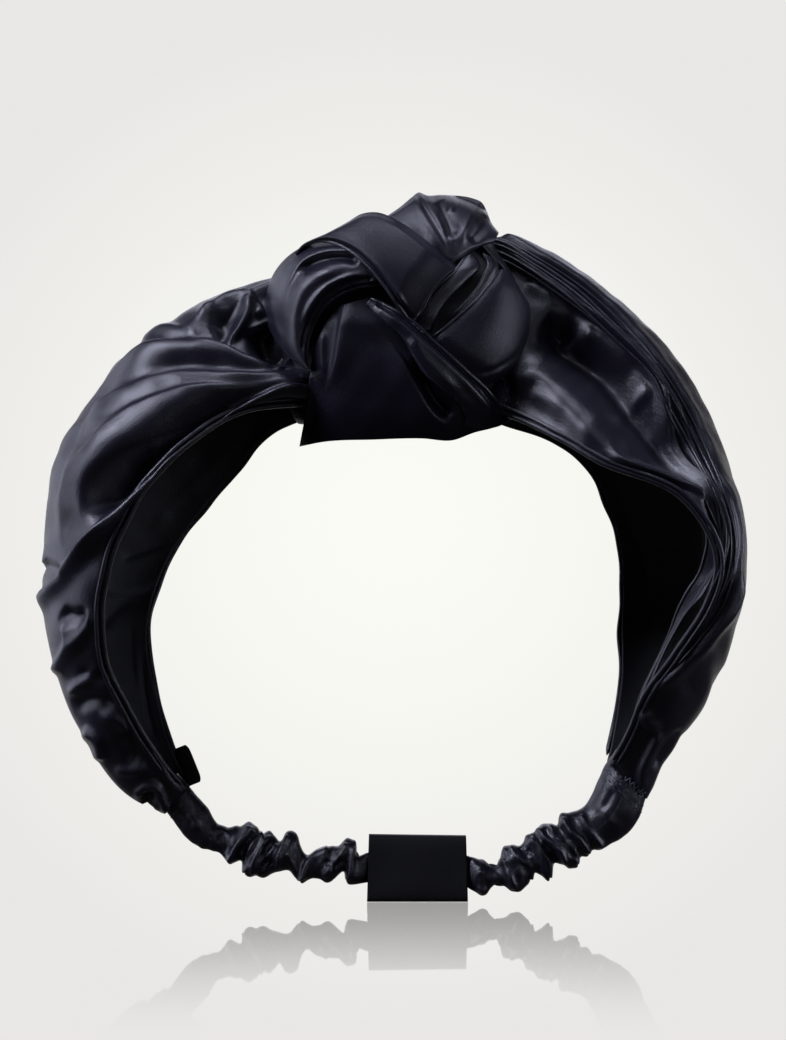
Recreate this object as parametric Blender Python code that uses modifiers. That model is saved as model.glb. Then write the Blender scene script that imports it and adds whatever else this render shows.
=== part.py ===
"""Knotted satin headband, standing on its elastic: two wide soft bands tied in a knot at the top and
joined at the bottom by a casing with an elastic strip inside and a woven label sleeve round it.
Lengths below are millimetres and angles are degrees; the objects are built in metres, +Z up, the loop
facing -Y. A loop angle is measured about the loop's centre, from +X towards +Z."""

import bmesh
import bpy
import numpy as np

MM = 0.001
CLOTH = 0.9  # one doubled layer of satin
LINING_GAP = 1.7  # from the outer panel's face to the lining's face
THREAD = 0.35  # radius of a sewing thread
STITCH_CLEAR = 0.3  # from the cloth to the side of a thread that lies on it
HEM_RADIUS = 1.1  # a rolled, sewn edge
HEM_DROP = 2.1  # from a panel's edge to the middle of its hem
HEM_STOP = 6.5  # degrees short of the join, where the two edges close up on each other
JOIN_STITCH_BACK = 2.0  # degrees from a band's end to its row of topstitching
JOIN_STITCH_WIDE = 80.0  # how far round the section that row runs, each way from the crown
LOOP_CENTRE = (0.0, 92.0)  # X and Z of the loop's middle

# Each band: loop angles, radii of the crown and of the two edges, and half of its width along Y
LEFT_BAND = {
    "angle": (110, 120, 135, 150, 165, 180, 195, 210, 222, 228.5),
    "crown": (82, 85, 88.5, 91, 93.5, 94.4, 95.6, 96, 95.4, 91.7),
    "front": (46, 48.5, 56, 62, 68, 74, 79, 80.5, 82, 82.6),
    "back": (44, 46, 49, 50, 54.5, 62.5, 70.5, 75, 80, 82.5),
    "half": (16, 20, 29, 35, 37, 36, 31, 22, 12, 6.5),
    "start": {"crown": 115.0, "edge": 124.0},
}
RIGHT_BAND = {
    "angle": (-43.6, -36, -27, -18, -8, 3, 13, 24, 36, 50, 66, 72),
    "crown": (94, 91.4, 92.2, 93.4, 94.3, 94.4, 94.3, 94, 94, 93, 92.5, 92),
    "front": (80.2, 78, 76, 76, 80, 80, 76, 65, 57, 50, 47, 46),
    "back": (80, 75, 70.5, 66.5, 64.5, 63.5, 62, 60.5, 56, 49, 46, 45),
    "half": (7, 13, 21, 28, 33, 36, 37, 36, 31, 24, 20, 18),
    "start": {"crown": 65.0, "edge": 51.0},
}

# The casing's centre line as X and Z, from the join to the label's middle, and its half height there
LEFT_CASING = (
    (-56.8, 26.0), (-51, 20.0), (-45, 16.2), (-37, 13.6),
    (-28, 12.0), (-18, 10.6), (-8, 9.6), (5.9, 9.3),
)
LEFT_CASING_HALF = (4.2, 5.4, 5.2, 6.2, 6.0, 5.6, 4.8, 4.6)
RIGHT_CASING = (
    (62.4, 31.2), (58.2, 26.4), (52.5, 20.8), (45.5, 16.2),
    (37.5, 11.2), (29.5, 8.6), (20.5, 8.8), (7.4, 9.3),
)
RIGHT_CASING_HALF = (6.2, 6.8, 5.8, 5.8, 5.6, 5.2, 4.6, 4.6)
CASING_WALL = 0.7
CASING_DEPTH = 4.6  # half of the casing's thickness along Y
SLEEVED_DEPTH = 2.0  # the same inside the label sleeve
FLAT_SPANS = 0.9  # the casing is flat over this much of its last span, counted from the label's middle
FLATTENING_SPANS = 0.6  # and flattens over this much before it
STRIP_HALF = 2.7  # half height of the elastic strip
STRIP_THICKNESS = 1.2

LABEL_SIZE = (26.8, 7.0, 18.0)
LABEL_CENTRE = (6.6, 0.0, 9.0)
LABEL_WALL = 0.9
LABEL_ROUNDING = 1.0  # radius of the sleeve's folds
LABEL_SEAM_INSET = (3.0, 2.0)  # the seam's distance from the sleeve's end, and from its top and bottom

# The knot: a rounded block that its folds lie on, with a power above 2 for flatter faces
KNOT_CENTRE = (1.0, 0.0, 156.0)
KNOT_LEFT, KNOT_RIGHT, KNOT_UP, KNOT_DOWN = 35.0, 36.5, 34.0, 42.0
KNOT_FRONT, KNOT_BACK = 33.0, 30.0
KNOT_POWER = 2.4
KNOT_UNDERSIDE = 128.5  # the face towards the head
CORE_INSET = 3.4  # from the knot's block to the rolled cloth inside it
TACK_HALF, TACK_DEPTH = 5.0, 6.0  # the hand tack's half length along X, and where it lies along Y

# Joint centres
LEFT_PIVOT = (-34.0, 0.0, 167.0)
RIGHT_PIVOT = (35.0, 0.0, 178.0)
TAG_HINGE = (-56.2, 1.6, 36.4)
TAG_REACH = 4.2
TAG_LENGTH = 11.0
TAG_LEAN = np.radians(22.0)  # the back edge leans this much from upright where the tag is sewn in
TAG_GAP = 0.6  # from the tag's middle plane to each of its two layers
TAG_WALL = 0.35
TAG_START = 0.4  # from the hinge to the tag's open end
ANCHOR_BACK, ANCHOR_SWING = 4.6, 0.8  # degrees from the band's end to the bar tack, and its zigzag
ANCHOR_STITCHES = 8

NAVY_SATIN = ("navy_satin", (0.016, 0.016, 0.026, 1), 0.34)
LABEL_BLACK = ("label_weave", (0.012, 0.012, 0.014, 1), 0.75)
NAVY_THREAD = ("navy_thread", (0.03, 0.03, 0.045, 1), 0.55)
ELASTIC = ("elastic_braid", (0.03, 0.03, 0.03, 1), 0.8)


def clear_scene():
    for obj in list(bpy.data.objects):
        bpy.data.objects.remove(obj)


def collection(name):
    made = bpy.data.collections.new(name)
    bpy.context.scene.collection.children.link(made)
    return made


def material(finish):
    name, colour, roughness = finish
    made = bpy.data.materials.get(name)
    if made:
        return made
    made = bpy.data.materials.new(name)
    made.use_nodes = True
    shader = made.node_tree.nodes["Principled BSDF"]
    shader.inputs["Base Color"].default_value = colour
    shader.inputs["Roughness"].default_value = roughness
    shader.inputs["Metallic"].default_value = 0.0
    return made


def pivot(name, at, under=None):
    """An empty on a joint's axis, which the pieces of that joint's body are parented to."""
    empty = bpy.data.objects.new(name, None)
    PARTS.objects.link(empty)
    spot = np.array(at)
    if under:
        empty.parent = under
        spot = spot - np.array(under["at"])
    empty["at"] = tuple(float(value) for value in at)
    empty.location = spot * MM
    return empty


def placed(obj, finish, body):
    """Gives a piece, whose points are in the object's own frame, its material and its body."""
    PARTS.objects.link(obj)
    obj.data.materials.append(material(finish))
    if body:
        obj.parent = body
        obj.location = -np.array(body["at"]) * MM
    return obj


def shade(mesh):
    mesh.shade_smooth()
    mesh.set_sharp_from_angle(angle=np.radians(40))


def through(stations, values, at):
    """A smooth curve through values given at rising stations: cubic spans, each point's slope taken from
    its two neighbours."""
    stations = np.asarray(stations, float)
    values = np.asarray(values, float)
    at = np.asarray(at, float)
    slopes = np.gradient(values, stations, axis=0)
    i = np.clip(np.searchsorted(stations, at) - 1, 0, len(stations) - 2)
    span = stations[i + 1] - stations[i]
    t = (at - stations[i]) / span
    if values.ndim > 1:
        t, span = t[:, None], span[:, None]
    rise = values[i + 1] - values[i]
    cubic = span * (slopes[i] + slopes[i + 1]) - 2 * rise
    square = 3 * rise - span * (2 * slopes[i] + slopes[i + 1])
    return values[i] + t * (span * slopes[i] + t * (square + t * cubic))


def grid_mesh(name, points, wrap=False):
    """A mesh of quads over a grid of points in millimetres, closed across the columns when wrap is set."""
    rows, columns = points.shape[:2]
    build = bmesh.new()
    verts = [[build.verts.new(point * MM) for point in row] for row in points]
    for i in range(rows - 1):
        for j in range(columns if wrap else columns - 1):
            k = (j + 1) % columns
            build.faces.new((verts[i][j], verts[i + 1][j], verts[i + 1][k], verts[i][k]))
    mesh = bpy.data.meshes.new(name)
    build.to_mesh(mesh)
    build.free()
    return mesh


def sheet(name, points, finish, body, thickness=CLOTH, wrap=False, outwards=None):
    """A layer of cloth: a grid of points with a thickness, grown from its face towards the inside."""
    first = points[0, 0]
    across = np.cross(points[1, 0] - first, points[0, 1] - first)
    if outwards is not None and across @ (first - np.array(outwards)) < 0:
        points = points[::-1]
    mesh = grid_mesh(name, points, wrap)
    shade(mesh)
    obj = placed(bpy.data.objects.new(name, mesh), finish, body)
    wall = obj.modifiers.new("thickness", "SOLIDIFY")
    wall.thickness = thickness * MM
    wall.offset = -1
    wall.use_even_offset = True
    return obj


def thread(name, points, radius, finish, body, closed=False):
    """A round cord, hem or thread through points in millimetres."""
    data = bpy.data.curves.new(name, "CURVE")
    data.dimensions = "3D"
    data.bevel_depth = radius * MM
    data.bevel_resolution = 2
    data.use_fill_caps = True
    line = data.splines.new("POLY")
    line.points.add(len(points) - 1)
    for spot, point in zip(line.points, points):
        spot.co = (*(point * MM), 1)
    line.use_cyclic_u = closed
    line.use_smooth = True
    return placed(bpy.data.objects.new(name, data), finish, body)


def on_loop(angle, radius, depth):
    """The point at a loop angle and radius, at a depth along Y."""
    turn = np.radians(angle)
    x = LOOP_CENTRE[0] + radius * np.cos(turn)
    z = LOOP_CENTRE[1] + radius * np.sin(turn)
    return np.stack(np.broadcast_arrays(x, depth, z), axis=-1)


def band_grid(band, end, inset, rows, columns):
    """A band's cross-section is two quarter ellipses that meet at the crown: one to the front edge and one
    to the back edge. The section runs round the loop from the knot to the join, and its edges start
    further from the knot than its crown. inset draws it inside the outer panel."""
    along = np.linspace(0, 1, rows)[:, None]
    across = np.radians(np.linspace(-90, 90, columns))[None, :]
    start = band["start"]["edge"] + (band["start"]["crown"] - band["start"]["edge"]) * np.cos(across)
    angle = start + (end - start) * along
    crown, front, back, half = (
        through(band["angle"], band[key], angle.ravel()).reshape(angle.shape)
        for key in ("crown", "front", "back", "half")
    )
    edge = np.where(across < 0, front, back)
    radius = edge + (crown - inset - edge) * np.cos(across)
    return on_loop(angle, radius, (half - inset) * np.sin(across))


def edge_line(band, end, side, rows):
    """The middle of the hem along a band's front (-1) or back (1) edge."""
    angle = np.linspace(band["start"]["edge"], end, rows)
    key = "front" if side < 0 else "back"
    radius = through(band["angle"], band[key], angle) - HEM_DROP
    half = through(band["angle"], band["half"], angle)
    return on_loop(angle, radius, side * (half - CLOTH / 2))


def section_ring(centre, along, half_height, half_depth, count):
    """A stadium-like ring of points round a line that runs in the XZ plane."""
    turn = np.linspace(0, 2 * np.pi, count, endpoint=False)
    up = np.array((-along[1], 0, along[0]))
    flat = np.array((0, 1.0, 0))
    middle = np.array((centre[0], 0, centre[1]))
    return middle + np.outer(half_height * np.sin(turn), up) + np.outer(half_depth * np.cos(turn), flat)


def make_band(side, band, end, body):
    """One band: the outer panel, the lining inside it, and the two sewn edges."""
    inside = (LOOP_CENTRE[0], 0, LOOP_CENTRE[1])
    outer = band_grid(band, end, 0, 17, 11)
    sheet(f"{side}_outer_panel", outer, NAVY_SATIN, body, outwards=inside)
    lining = band_grid(band, end, LINING_GAP, 15, 9)
    sheet(f"{side}_lining", lining, NAVY_SATIN, body, outwards=inside)
    stop = end + np.sign(band["start"]["edge"] - end) * HEM_STOP
    thread(f"{side}_front_hem", edge_line(band, stop, -1, 17), HEM_RADIUS, NAVY_SATIN, body)
    thread(f"{side}_back_hem", edge_line(band, stop, 1, 17), HEM_RADIUS, NAVY_SATIN, body)


def over_band(band, angle, across, clear):
    """Points over a band's outer face, this clear of it, at loop angles and places across the section."""
    crown, edge, half = (through(band["angle"], band[key], angle) for key in ("crown", "front", "half"))
    turn = np.radians(across)
    return on_loop(angle, edge + (crown + clear - edge) * np.cos(turn), (half + clear) * np.sin(turn))


def make_join_stitch(side, band, end, body):
    """The topstitching that closes a band's end: a row of thread over it from edge to edge."""
    across = np.linspace(-JOIN_STITCH_WIDE, JOIN_STITCH_WIDE, 11)
    angle = np.full(across.shape, end + np.sign(band["start"]["edge"] - end) * JOIN_STITCH_BACK)
    row = over_band(band, angle, across, THREAD + 2 * STITCH_CLEAR)
    thread(f"{side}_join_stitch", row, THREAD, NAVY_THREAD, body)


def casing_line(points, count):
    """The casing's centre line at even steps, and its direction there."""
    points = np.array(points, float)
    place = np.linspace(0, len(points) - 1, count)
    line = through(np.arange(len(points)), points, place)
    along = np.gradient(line, axis=0)
    return place, line, along / np.linalg.norm(along, axis=1)[:, None]


def make_casing(side, points, halves, body):
    """The satin tube, open at both ends and pressed flat inside the label, and the elastic strip in it."""
    place, line, along = casing_line(points, 15)
    half = through(np.arange(len(halves)), halves, place)
    flat_from = len(points) - 1 - FLAT_SPANS
    puffed = np.clip((flat_from - place) / FLATTENING_SPANS, 0, 1)
    depth = SLEEVED_DEPTH + (CASING_DEPTH - SLEEVED_DEPTH) * puffed
    rings = [section_ring(*row, 10) for row in zip(line, along, half, depth)]
    middle = (line[0][0], 0, line[0][1])
    sheet(f"{side}_casing", np.array(rings), NAVY_SATIN, body, CASING_WALL, wrap=True, outwards=middle)
    strip_line = line[:-1]
    up = np.stack((-along[:-1, 1], np.zeros(len(strip_line)), along[:-1, 0]), axis=1)
    face = np.full(len(strip_line), STRIP_THICKNESS / 2)
    flat = np.stack((strip_line[:, 0], face, strip_line[:, 1]), axis=1)
    strip = np.stack((flat - up * STRIP_HALF, flat + up * STRIP_HALF), axis=1)
    behind = (line[0][0], -10, line[0][1])
    sheet(f"{side}_elastic_strip", strip, ELASTIC, body, STRIP_THICKNESS, outwards=behind)


def block(name, centre, size):
    """A box of this size at this centre, in millimetres."""
    build = bmesh.new()
    bmesh.ops.create_cube(build, size=1)
    bmesh.ops.scale(build, vec=np.array(size) * MM, verts=build.verts)
    bmesh.ops.translate(build, vec=np.array(centre) * MM, verts=build.verts)
    mesh = bpy.data.meshes.new(name)
    build.to_mesh(mesh)
    build.free()
    return bpy.data.objects.new(name, mesh)


def make_label(body):
    """The woven label: a ribbon sewn into a flat sleeve round the casing, flat underneath."""
    wide, deep, high = LABEL_SIZE
    sleeve = placed(block("label_sleeve", LABEL_CENTRE, LABEL_SIZE), LABEL_BLACK, body)
    rounded = sleeve.modifiers.new("rounded_folds", "BEVEL")
    rounded.width = LABEL_ROUNDING * MM
    rounded.segments = 2
    inside = (1.4 * wide, deep - 2 * LABEL_WALL, high - 2 * LABEL_WALL)
    cutter = block("label_bore_cutter", LABEL_CENTRE, inside)
    CUTTERS.objects.link(cutter)
    cutter.parent = body
    cutter.location = sleeve.location
    cutter.display_type = "WIRE"
    cutter.hide_render = True
    bore = sleeve.modifiers.new("bore", "BOOLEAN")
    bore.operation = "DIFFERENCE"
    bore.object = cutter
    x, y, z = LABEL_CENTRE
    back = y + deep / 2 + THREAD + STITCH_CLEAR
    from_end, from_fold = LABEL_SEAM_INSET
    rises = np.linspace(-1, 1, 7) * (high / 2 - from_fold)
    seam = np.array([(x + wide / 2 - from_end, back, z + rise) for rise in rises])
    thread("label_seam_stitch", seam, THREAD, NAVY_THREAD, body)


def make_tag(body):
    """The side tag: a short ribbon folded in two, its open end sewn into the left band's back edge."""
    turn = np.radians(np.linspace(-90, 90, 5))
    fold = [(TAG_REACH - TAG_GAP + TAG_GAP * np.cos(angle), TAG_GAP * np.sin(angle)) for angle in turn]
    profile = [(TAG_START, -TAG_GAP), *fold, (TAG_START, TAG_GAP)]
    lengths = np.linspace(-TAG_LENGTH / 2, TAG_LENGTH / 2, 3)
    out = np.array((np.cos(TAG_LEAN), 0, np.sin(TAG_LEAN)))
    up = np.array((-np.sin(TAG_LEAN), 0, np.cos(TAG_LEAN)))
    deep = np.array((0, 1.0, 0))
    hinge = np.array(TAG_HINGE)
    points = np.array([[hinge + out * a + deep * b + up * length for length in lengths] for a, b in profile])
    middle = hinge + out * TAG_REACH / 2
    sheet("side_tag", points, LABEL_BLACK, body, TAG_WALL, outwards=middle)


def knot_point(x, z, lift, side=-1):
    """The point over X, Z on the front (side -1) or back (1) of the knot's block, lifted outwards along the
    line from the knot's centre."""
    across = x - KNOT_CENTRE[0]
    above = z - KNOT_CENTRE[2]
    wide = np.where(across < 0, KNOT_LEFT, KNOT_RIGHT)
    high = np.where(above < 0, KNOT_DOWN, KNOT_UP)
    left_over = 1 - np.abs(across / wide) ** KNOT_POWER - np.abs(above / high) ** KNOT_POWER
    reach = KNOT_FRONT if side < 0 else KNOT_BACK
    depth = side * reach * np.maximum(left_over, 0.02) ** (1 / KNOT_POWER)
    spoke = np.stack((across, depth, above), axis=-1)
    length = np.linalg.norm(spoke, axis=-1, keepdims=True)
    return np.array(KNOT_CENTRE) + spoke * (1 + lift / length)


def knot_fold(name, edge_a, edge_b, lift, bulge=0.0, side=-1, rows=8, columns=6):
    """A fold of the knot: cloth between two edge lines, lying on the knot at its own height, with its
    middle raised by bulge. Each edge is a few X, Z points."""
    steps = np.linspace(0, 1, rows)
    lines = []
    for edge in (edge_a, edge_b):
        lines.append(through(np.linspace(0, 1, len(edge)), np.array(edge, float), steps))
    part = np.linspace(0, 1, columns)[None, :, None]
    flat = lines[0][:, None, :] * (1 - part) + lines[1][:, None, :] * part
    raised = lift + bulge * np.sin(np.pi * part[..., 0])
    points = knot_point(flat[..., 0], flat[..., 1], raised[..., None], side)
    sheet(name, points, NAVY_SATIN, None, outwards=KNOT_CENTRE)


def make_knot_core():
    """The rolled cloth inside the knot: a ball pushed out to the knot's block, flat towards the head."""
    build = bmesh.new()
    bmesh.ops.create_uvsphere(build, u_segments=16, v_segments=10, radius=1)
    for vert in build.verts:
        x, y, z = vert.co
        wide = KNOT_LEFT if x < 0 else KNOT_RIGHT
        deep = KNOT_FRONT if y < 0 else KNOT_BACK
        high = KNOT_UP if z > 0 else KNOT_DOWN
        size = abs(x / wide) ** KNOT_POWER + abs(y / deep) ** KNOT_POWER + abs(z / high) ** KNOT_POWER
        reach = size ** (-1 / KNOT_POWER) - CORE_INSET
        spot = [KNOT_CENTRE[i] + reach * value for i, value in enumerate((x, y, z))]
        spot[2] = max(spot[2], KNOT_UNDERSIDE)
        vert.co = [value * MM for value in spot]
    bmesh.ops.remove_doubles(build, verts=build.verts, dist=0.5 * MM)
    mesh = bpy.data.meshes.new("knot_core")
    build.to_mesh(mesh)
    build.free()
    shade(mesh)
    placed(bpy.data.objects.new("knot_core", mesh), NAVY_SATIN, None)


def make_knot():
    """The knot's folds, from the lowest to the one that lies over all the others."""
    make_knot_core()
    knot_fold(
        "knot_lower_flap",
        ((-17.6, 157), (-22, 145), (-23.6, 133), (-25, 123.5)),
        ((-5, 158), (8, 147), (20, 136), (27, 128.5)),
        0.0,
    )
    knot_fold(
        "knot_right_lobe",
        ((12, 152), (18, 158.5), (24.5, 165), (29, 169.5)),
        ((26, 141.5), (33, 146), (36, 156), (31, 168)),
        0.0,
    )
    knot_fold(
        "knot_top_tail",
        ((-1, 185), (6, 189), (16, 189.4), (24.5, 184.5)),
        ((14, 175), (16, 176), (18.5, 177), (26, 178)),
        1.0,
    )
    knot_fold(
        "knot_left_loop",
        ((-27, 174), (-33, 166), (-31, 153), (-24, 145)),
        ((-8, 171), (-15, 165), (-20, 158), (-21, 149)),
        1.6,
        bulge=1.5,
    )
    knot_fold(
        "knot_diagonal_fold",
        ((-6, 162), (4, 153), (15, 142), (24, 131)),
        ((0, 163), (8, 155.5), (19, 144), (30, 132)),
        1.6,
        bulge=1.5,
    )
    knot_fold(
        "knot_inner_pleat",
        ((8.5, 159), (12, 164.5), (16, 169), (20, 173.5)),
        ((13, 156.5), (18, 161.5), (22.5, 166), (25.5, 171.5)),
        1.6,
        bulge=1.0,
    )
    knot_fold(
        "knot_over_strap",
        ((-25, 176), (-7, 185), (8, 180), (17, 173)),
        ((-17, 177), (-7, 171), (1, 162), (6, 156.5)),
        4.4,
        bulge=1.5,
    )
    knot_fold(
        "knot_back_wrap",
        ((-30, 165), (-16, 182), (16, 182), (31, 165)),
        ((-28, 140), (-14, 130), (14, 130), (30, 140)),
        0.0,
        side=1,
        rows=9,
    )
    below = KNOT_UNDERSIDE - THREAD - STITCH_CLEAR
    stitch = np.array([(x, TACK_DEPTH, below) for x in np.linspace(-TACK_HALF, TACK_HALF, 4)])
    thread("knot_tack_stitch", stitch, THREAD, NAVY_THREAD, None)


def make_anchor_stitch(body):
    """The bar tack that holds the elastic's end on the right: a zigzag of thread on the band's front."""
    angle = RIGHT_END + ANCHOR_BACK + ANCHOR_SWING * (-1.0) ** np.arange(ANCHOR_STITCHES)
    zigzag = over_band(RIGHT_BAND, angle, np.linspace(-72, -12, ANCHOR_STITCHES), THREAD + 3 * STITCH_CLEAR)
    thread("right_anchor_stitch", zigzag, THREAD, NAVY_THREAD, body)


clear_scene()
PARTS = collection("knotted_headband")
CUTTERS = collection("headband_cutters")
LEFT_END = LEFT_BAND["angle"][-1] - 0.4
RIGHT_END = RIGHT_BAND["angle"][0] + 0.4
left_band = pivot("left_band_pivot", LEFT_PIVOT)
right_band = pivot("right_band_pivot", RIGHT_PIVOT)
left_elastic = pivot("left_elastic_slide", (LEFT_CASING[0][0], 0, LEFT_CASING[0][1]), left_band)
right_elastic = pivot("right_elastic_slide", (RIGHT_CASING[0][0], 0, RIGHT_CASING[0][1]), right_band)
label = pivot("label_slide", LABEL_CENTRE)
tag = pivot("side_tag_hinge", TAG_HINGE, left_band)
make_knot()
make_band("left", LEFT_BAND, LEFT_END, left_band)
make_join_stitch("left", LEFT_BAND, LEFT_END, left_band)
make_band("right", RIGHT_BAND, RIGHT_END, right_band)
make_join_stitch("right", RIGHT_BAND, RIGHT_END, right_band)
make_anchor_stitch(right_band)
make_casing("left", LEFT_CASING, LEFT_CASING_HALF, left_elastic)
make_casing("right", RIGHT_CASING, RIGHT_CASING_HALF, right_elastic)
make_label(label)
make_tag(tag)
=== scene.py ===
"""Looks of the knotted satin headband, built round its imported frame: pleated satin bands, the tied knot,
the gathered casing, the woven sleeve and tag, thread, floor and light. Shapes are worked out in
millimetres and put into the meshes in metres. Outlines and folds are drawn in front elevation, as an eye
EYE_AWAY in front and EYE_HIGH up sees them."""

import bpy
import numpy as np
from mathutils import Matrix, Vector


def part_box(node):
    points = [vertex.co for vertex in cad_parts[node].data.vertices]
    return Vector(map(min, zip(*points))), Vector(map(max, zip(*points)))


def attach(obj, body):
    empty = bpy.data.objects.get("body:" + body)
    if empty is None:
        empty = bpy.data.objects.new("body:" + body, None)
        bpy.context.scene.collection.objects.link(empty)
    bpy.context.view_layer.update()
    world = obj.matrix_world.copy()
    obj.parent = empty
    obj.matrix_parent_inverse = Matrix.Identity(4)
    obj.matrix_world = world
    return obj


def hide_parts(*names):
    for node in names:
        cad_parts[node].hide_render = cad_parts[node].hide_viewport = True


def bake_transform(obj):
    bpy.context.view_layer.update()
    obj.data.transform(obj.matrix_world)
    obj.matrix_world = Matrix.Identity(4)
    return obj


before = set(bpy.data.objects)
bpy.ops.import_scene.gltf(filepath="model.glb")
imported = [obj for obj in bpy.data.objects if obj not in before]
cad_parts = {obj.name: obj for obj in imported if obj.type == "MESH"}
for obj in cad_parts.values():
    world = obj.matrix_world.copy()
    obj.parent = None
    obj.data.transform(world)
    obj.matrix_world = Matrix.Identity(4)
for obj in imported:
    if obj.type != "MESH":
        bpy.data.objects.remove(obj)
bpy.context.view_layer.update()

MM = 0.001
EYE_AWAY = 1100.0  # the eye's distance in front of the loop's plane
EYE_HIGH = 103.0  # and its height
LOOP_X, LOOP_Z = 0.0, 92.0  # the loop's middle
VIEW_HIGH = 280.8  # the height that the view takes in at the loop's plane
CLOTH = 0.55  # the satin's thickness
COOL = (0.77, 0.80, 1.0)  # the light's colour


# ---------------------------------------------------------------- lines, strokes and meshes


def through(stations, values, at):
    """A smooth curve through values at rising stations: cubic spans, each slope from its neighbours."""
    stations = np.asarray(stations, float)
    values = np.asarray(values, float)
    at = np.asarray(at, float)
    slopes = np.gradient(values, stations, axis=0)
    i = np.clip(np.searchsorted(stations, at) - 1, 0, len(stations) - 2)
    span = stations[i + 1] - stations[i]
    t = (at - stations[i]) / span
    if values.ndim > 1:
        t, span = t[..., None], span[..., None]
    rise = values[i + 1] - values[i]
    cubic = span * (slopes[i] + slopes[i + 1]) - 2 * rise
    square = 3 * rise - span * (2 * slopes[i] + slopes[i + 1])
    return values[i] + t * (span * slopes[i] + t * (square + t * cubic))


def curve(points, count):
    """Points evenly spaced along a smooth line through the given ones."""
    points = np.asarray(points, float)
    reach = np.concatenate([[0], np.cumsum(np.linalg.norm(np.diff(points, axis=0), axis=1))])
    fine = through(reach, points, np.linspace(0, reach[-1], 12 * len(points)))
    length = np.concatenate([[0], np.cumsum(np.linalg.norm(np.diff(fine, axis=0), axis=1))])
    even = np.linspace(0, length[-1], count)
    return np.stack([np.interp(even, length, fine[:, k]) for k in range(fine.shape[1])], axis=1)


def ease(t):
    """A smooth step from 0 to 1."""
    t = np.clip(t, 0, 1)
    return t * t * (3 - 2 * t)


def from_eye(x, z, y):
    """Where a point drawn at x, z in front elevation lies in space when its depth is y."""
    scale = (EYE_AWAY + y) / EYE_AWAY
    return np.stack([x * scale, y, EYE_HIGH + (z - EYE_HIGH) * scale], axis=-1)


def in_front_view(points):
    """The front-elevation x and z of points in space."""
    scale = EYE_AWAY / (EYE_AWAY + points[..., 1])
    return points[..., 0] * scale, EYE_HIGH + (points[..., 2] - EYE_HIGH) * scale


def beside(x, z, line):
    """For each point, its distance from a line in the XZ plane, positive on the line's left as it runs, and
    how far along the line, from 0 to 1, the nearest place is."""
    start, step = line[:-1], np.diff(line, axis=0)
    length = np.sqrt((step**2).sum(1))
    before = np.concatenate([[0], np.cumsum(length)])
    best = np.full(x.shape, np.inf)
    side = np.zeros(x.shape)
    along = np.zeros(x.shape)
    for k in range(len(start)):
        dx, dz = x - start[k, 0], z - start[k, 1]
        t = np.clip((dx * step[k, 0] + dz * step[k, 1]) / length[k] ** 2, 0, 1)
        far = (dx - t * step[k, 0]) ** 2 + (dz - t * step[k, 1]) ** 2
        nearer = far < best
        best = np.where(nearer, far, best)
        side = np.where(nearer, np.sign(step[k, 0] * dz - step[k, 1] * dx), side)
        along = np.where(nearer, (before[k] + t * length[k]) / before[-1], along)
    return side * np.sqrt(best), along


def fold_height(x, z, folds):
    """The height of cloth over its plain shape: each fold is (line, height, width on the left, width on the
    right, fade at the start, fade at the end). Across the line it falls off as exp(-(distance / width)^2)
    and it fades in and out along the line."""
    height = np.zeros(x.shape)
    for points, tall, left, right, fade_in, fade_out in folds:
        distance, along = beside(x, z, curve(points, 5 * len(points)))
        width = np.where(distance > 0, left, right)
        shape = np.exp(-((distance / width) ** 2))
        if fade_in:
            shape = shape * ease(along / fade_in)
        if fade_out:
            shape = shape * ease((1 - along) / fade_out)
        height += tall * shape
    return height


def unevenness(x, z, size, seed):
    """A gentle irregular surface, from -1 to 1: a sum of sine waves of many directions and lengths."""
    random = np.random.default_rng(seed)
    total = np.zeros(np.broadcast_shapes(np.shape(x), np.shape(z)))
    for _ in range(9):
        turn = random.uniform(0, 2 * np.pi)
        wave = 2 * np.pi / (size * random.uniform(0.6, 1.9))
        total += np.sin(wave * (x * np.cos(turn) + z * np.sin(turn)) + random.uniform(0, 6.3))
    return total / 5


def normals(points):
    """Unit normals of a grid of points, from the cross product of its two directions."""
    normal = np.cross(np.gradient(points, axis=0), np.gradient(points, axis=1))
    return normal / np.maximum(np.linalg.norm(normal, axis=-1, keepdims=True), 1e-9)


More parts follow.
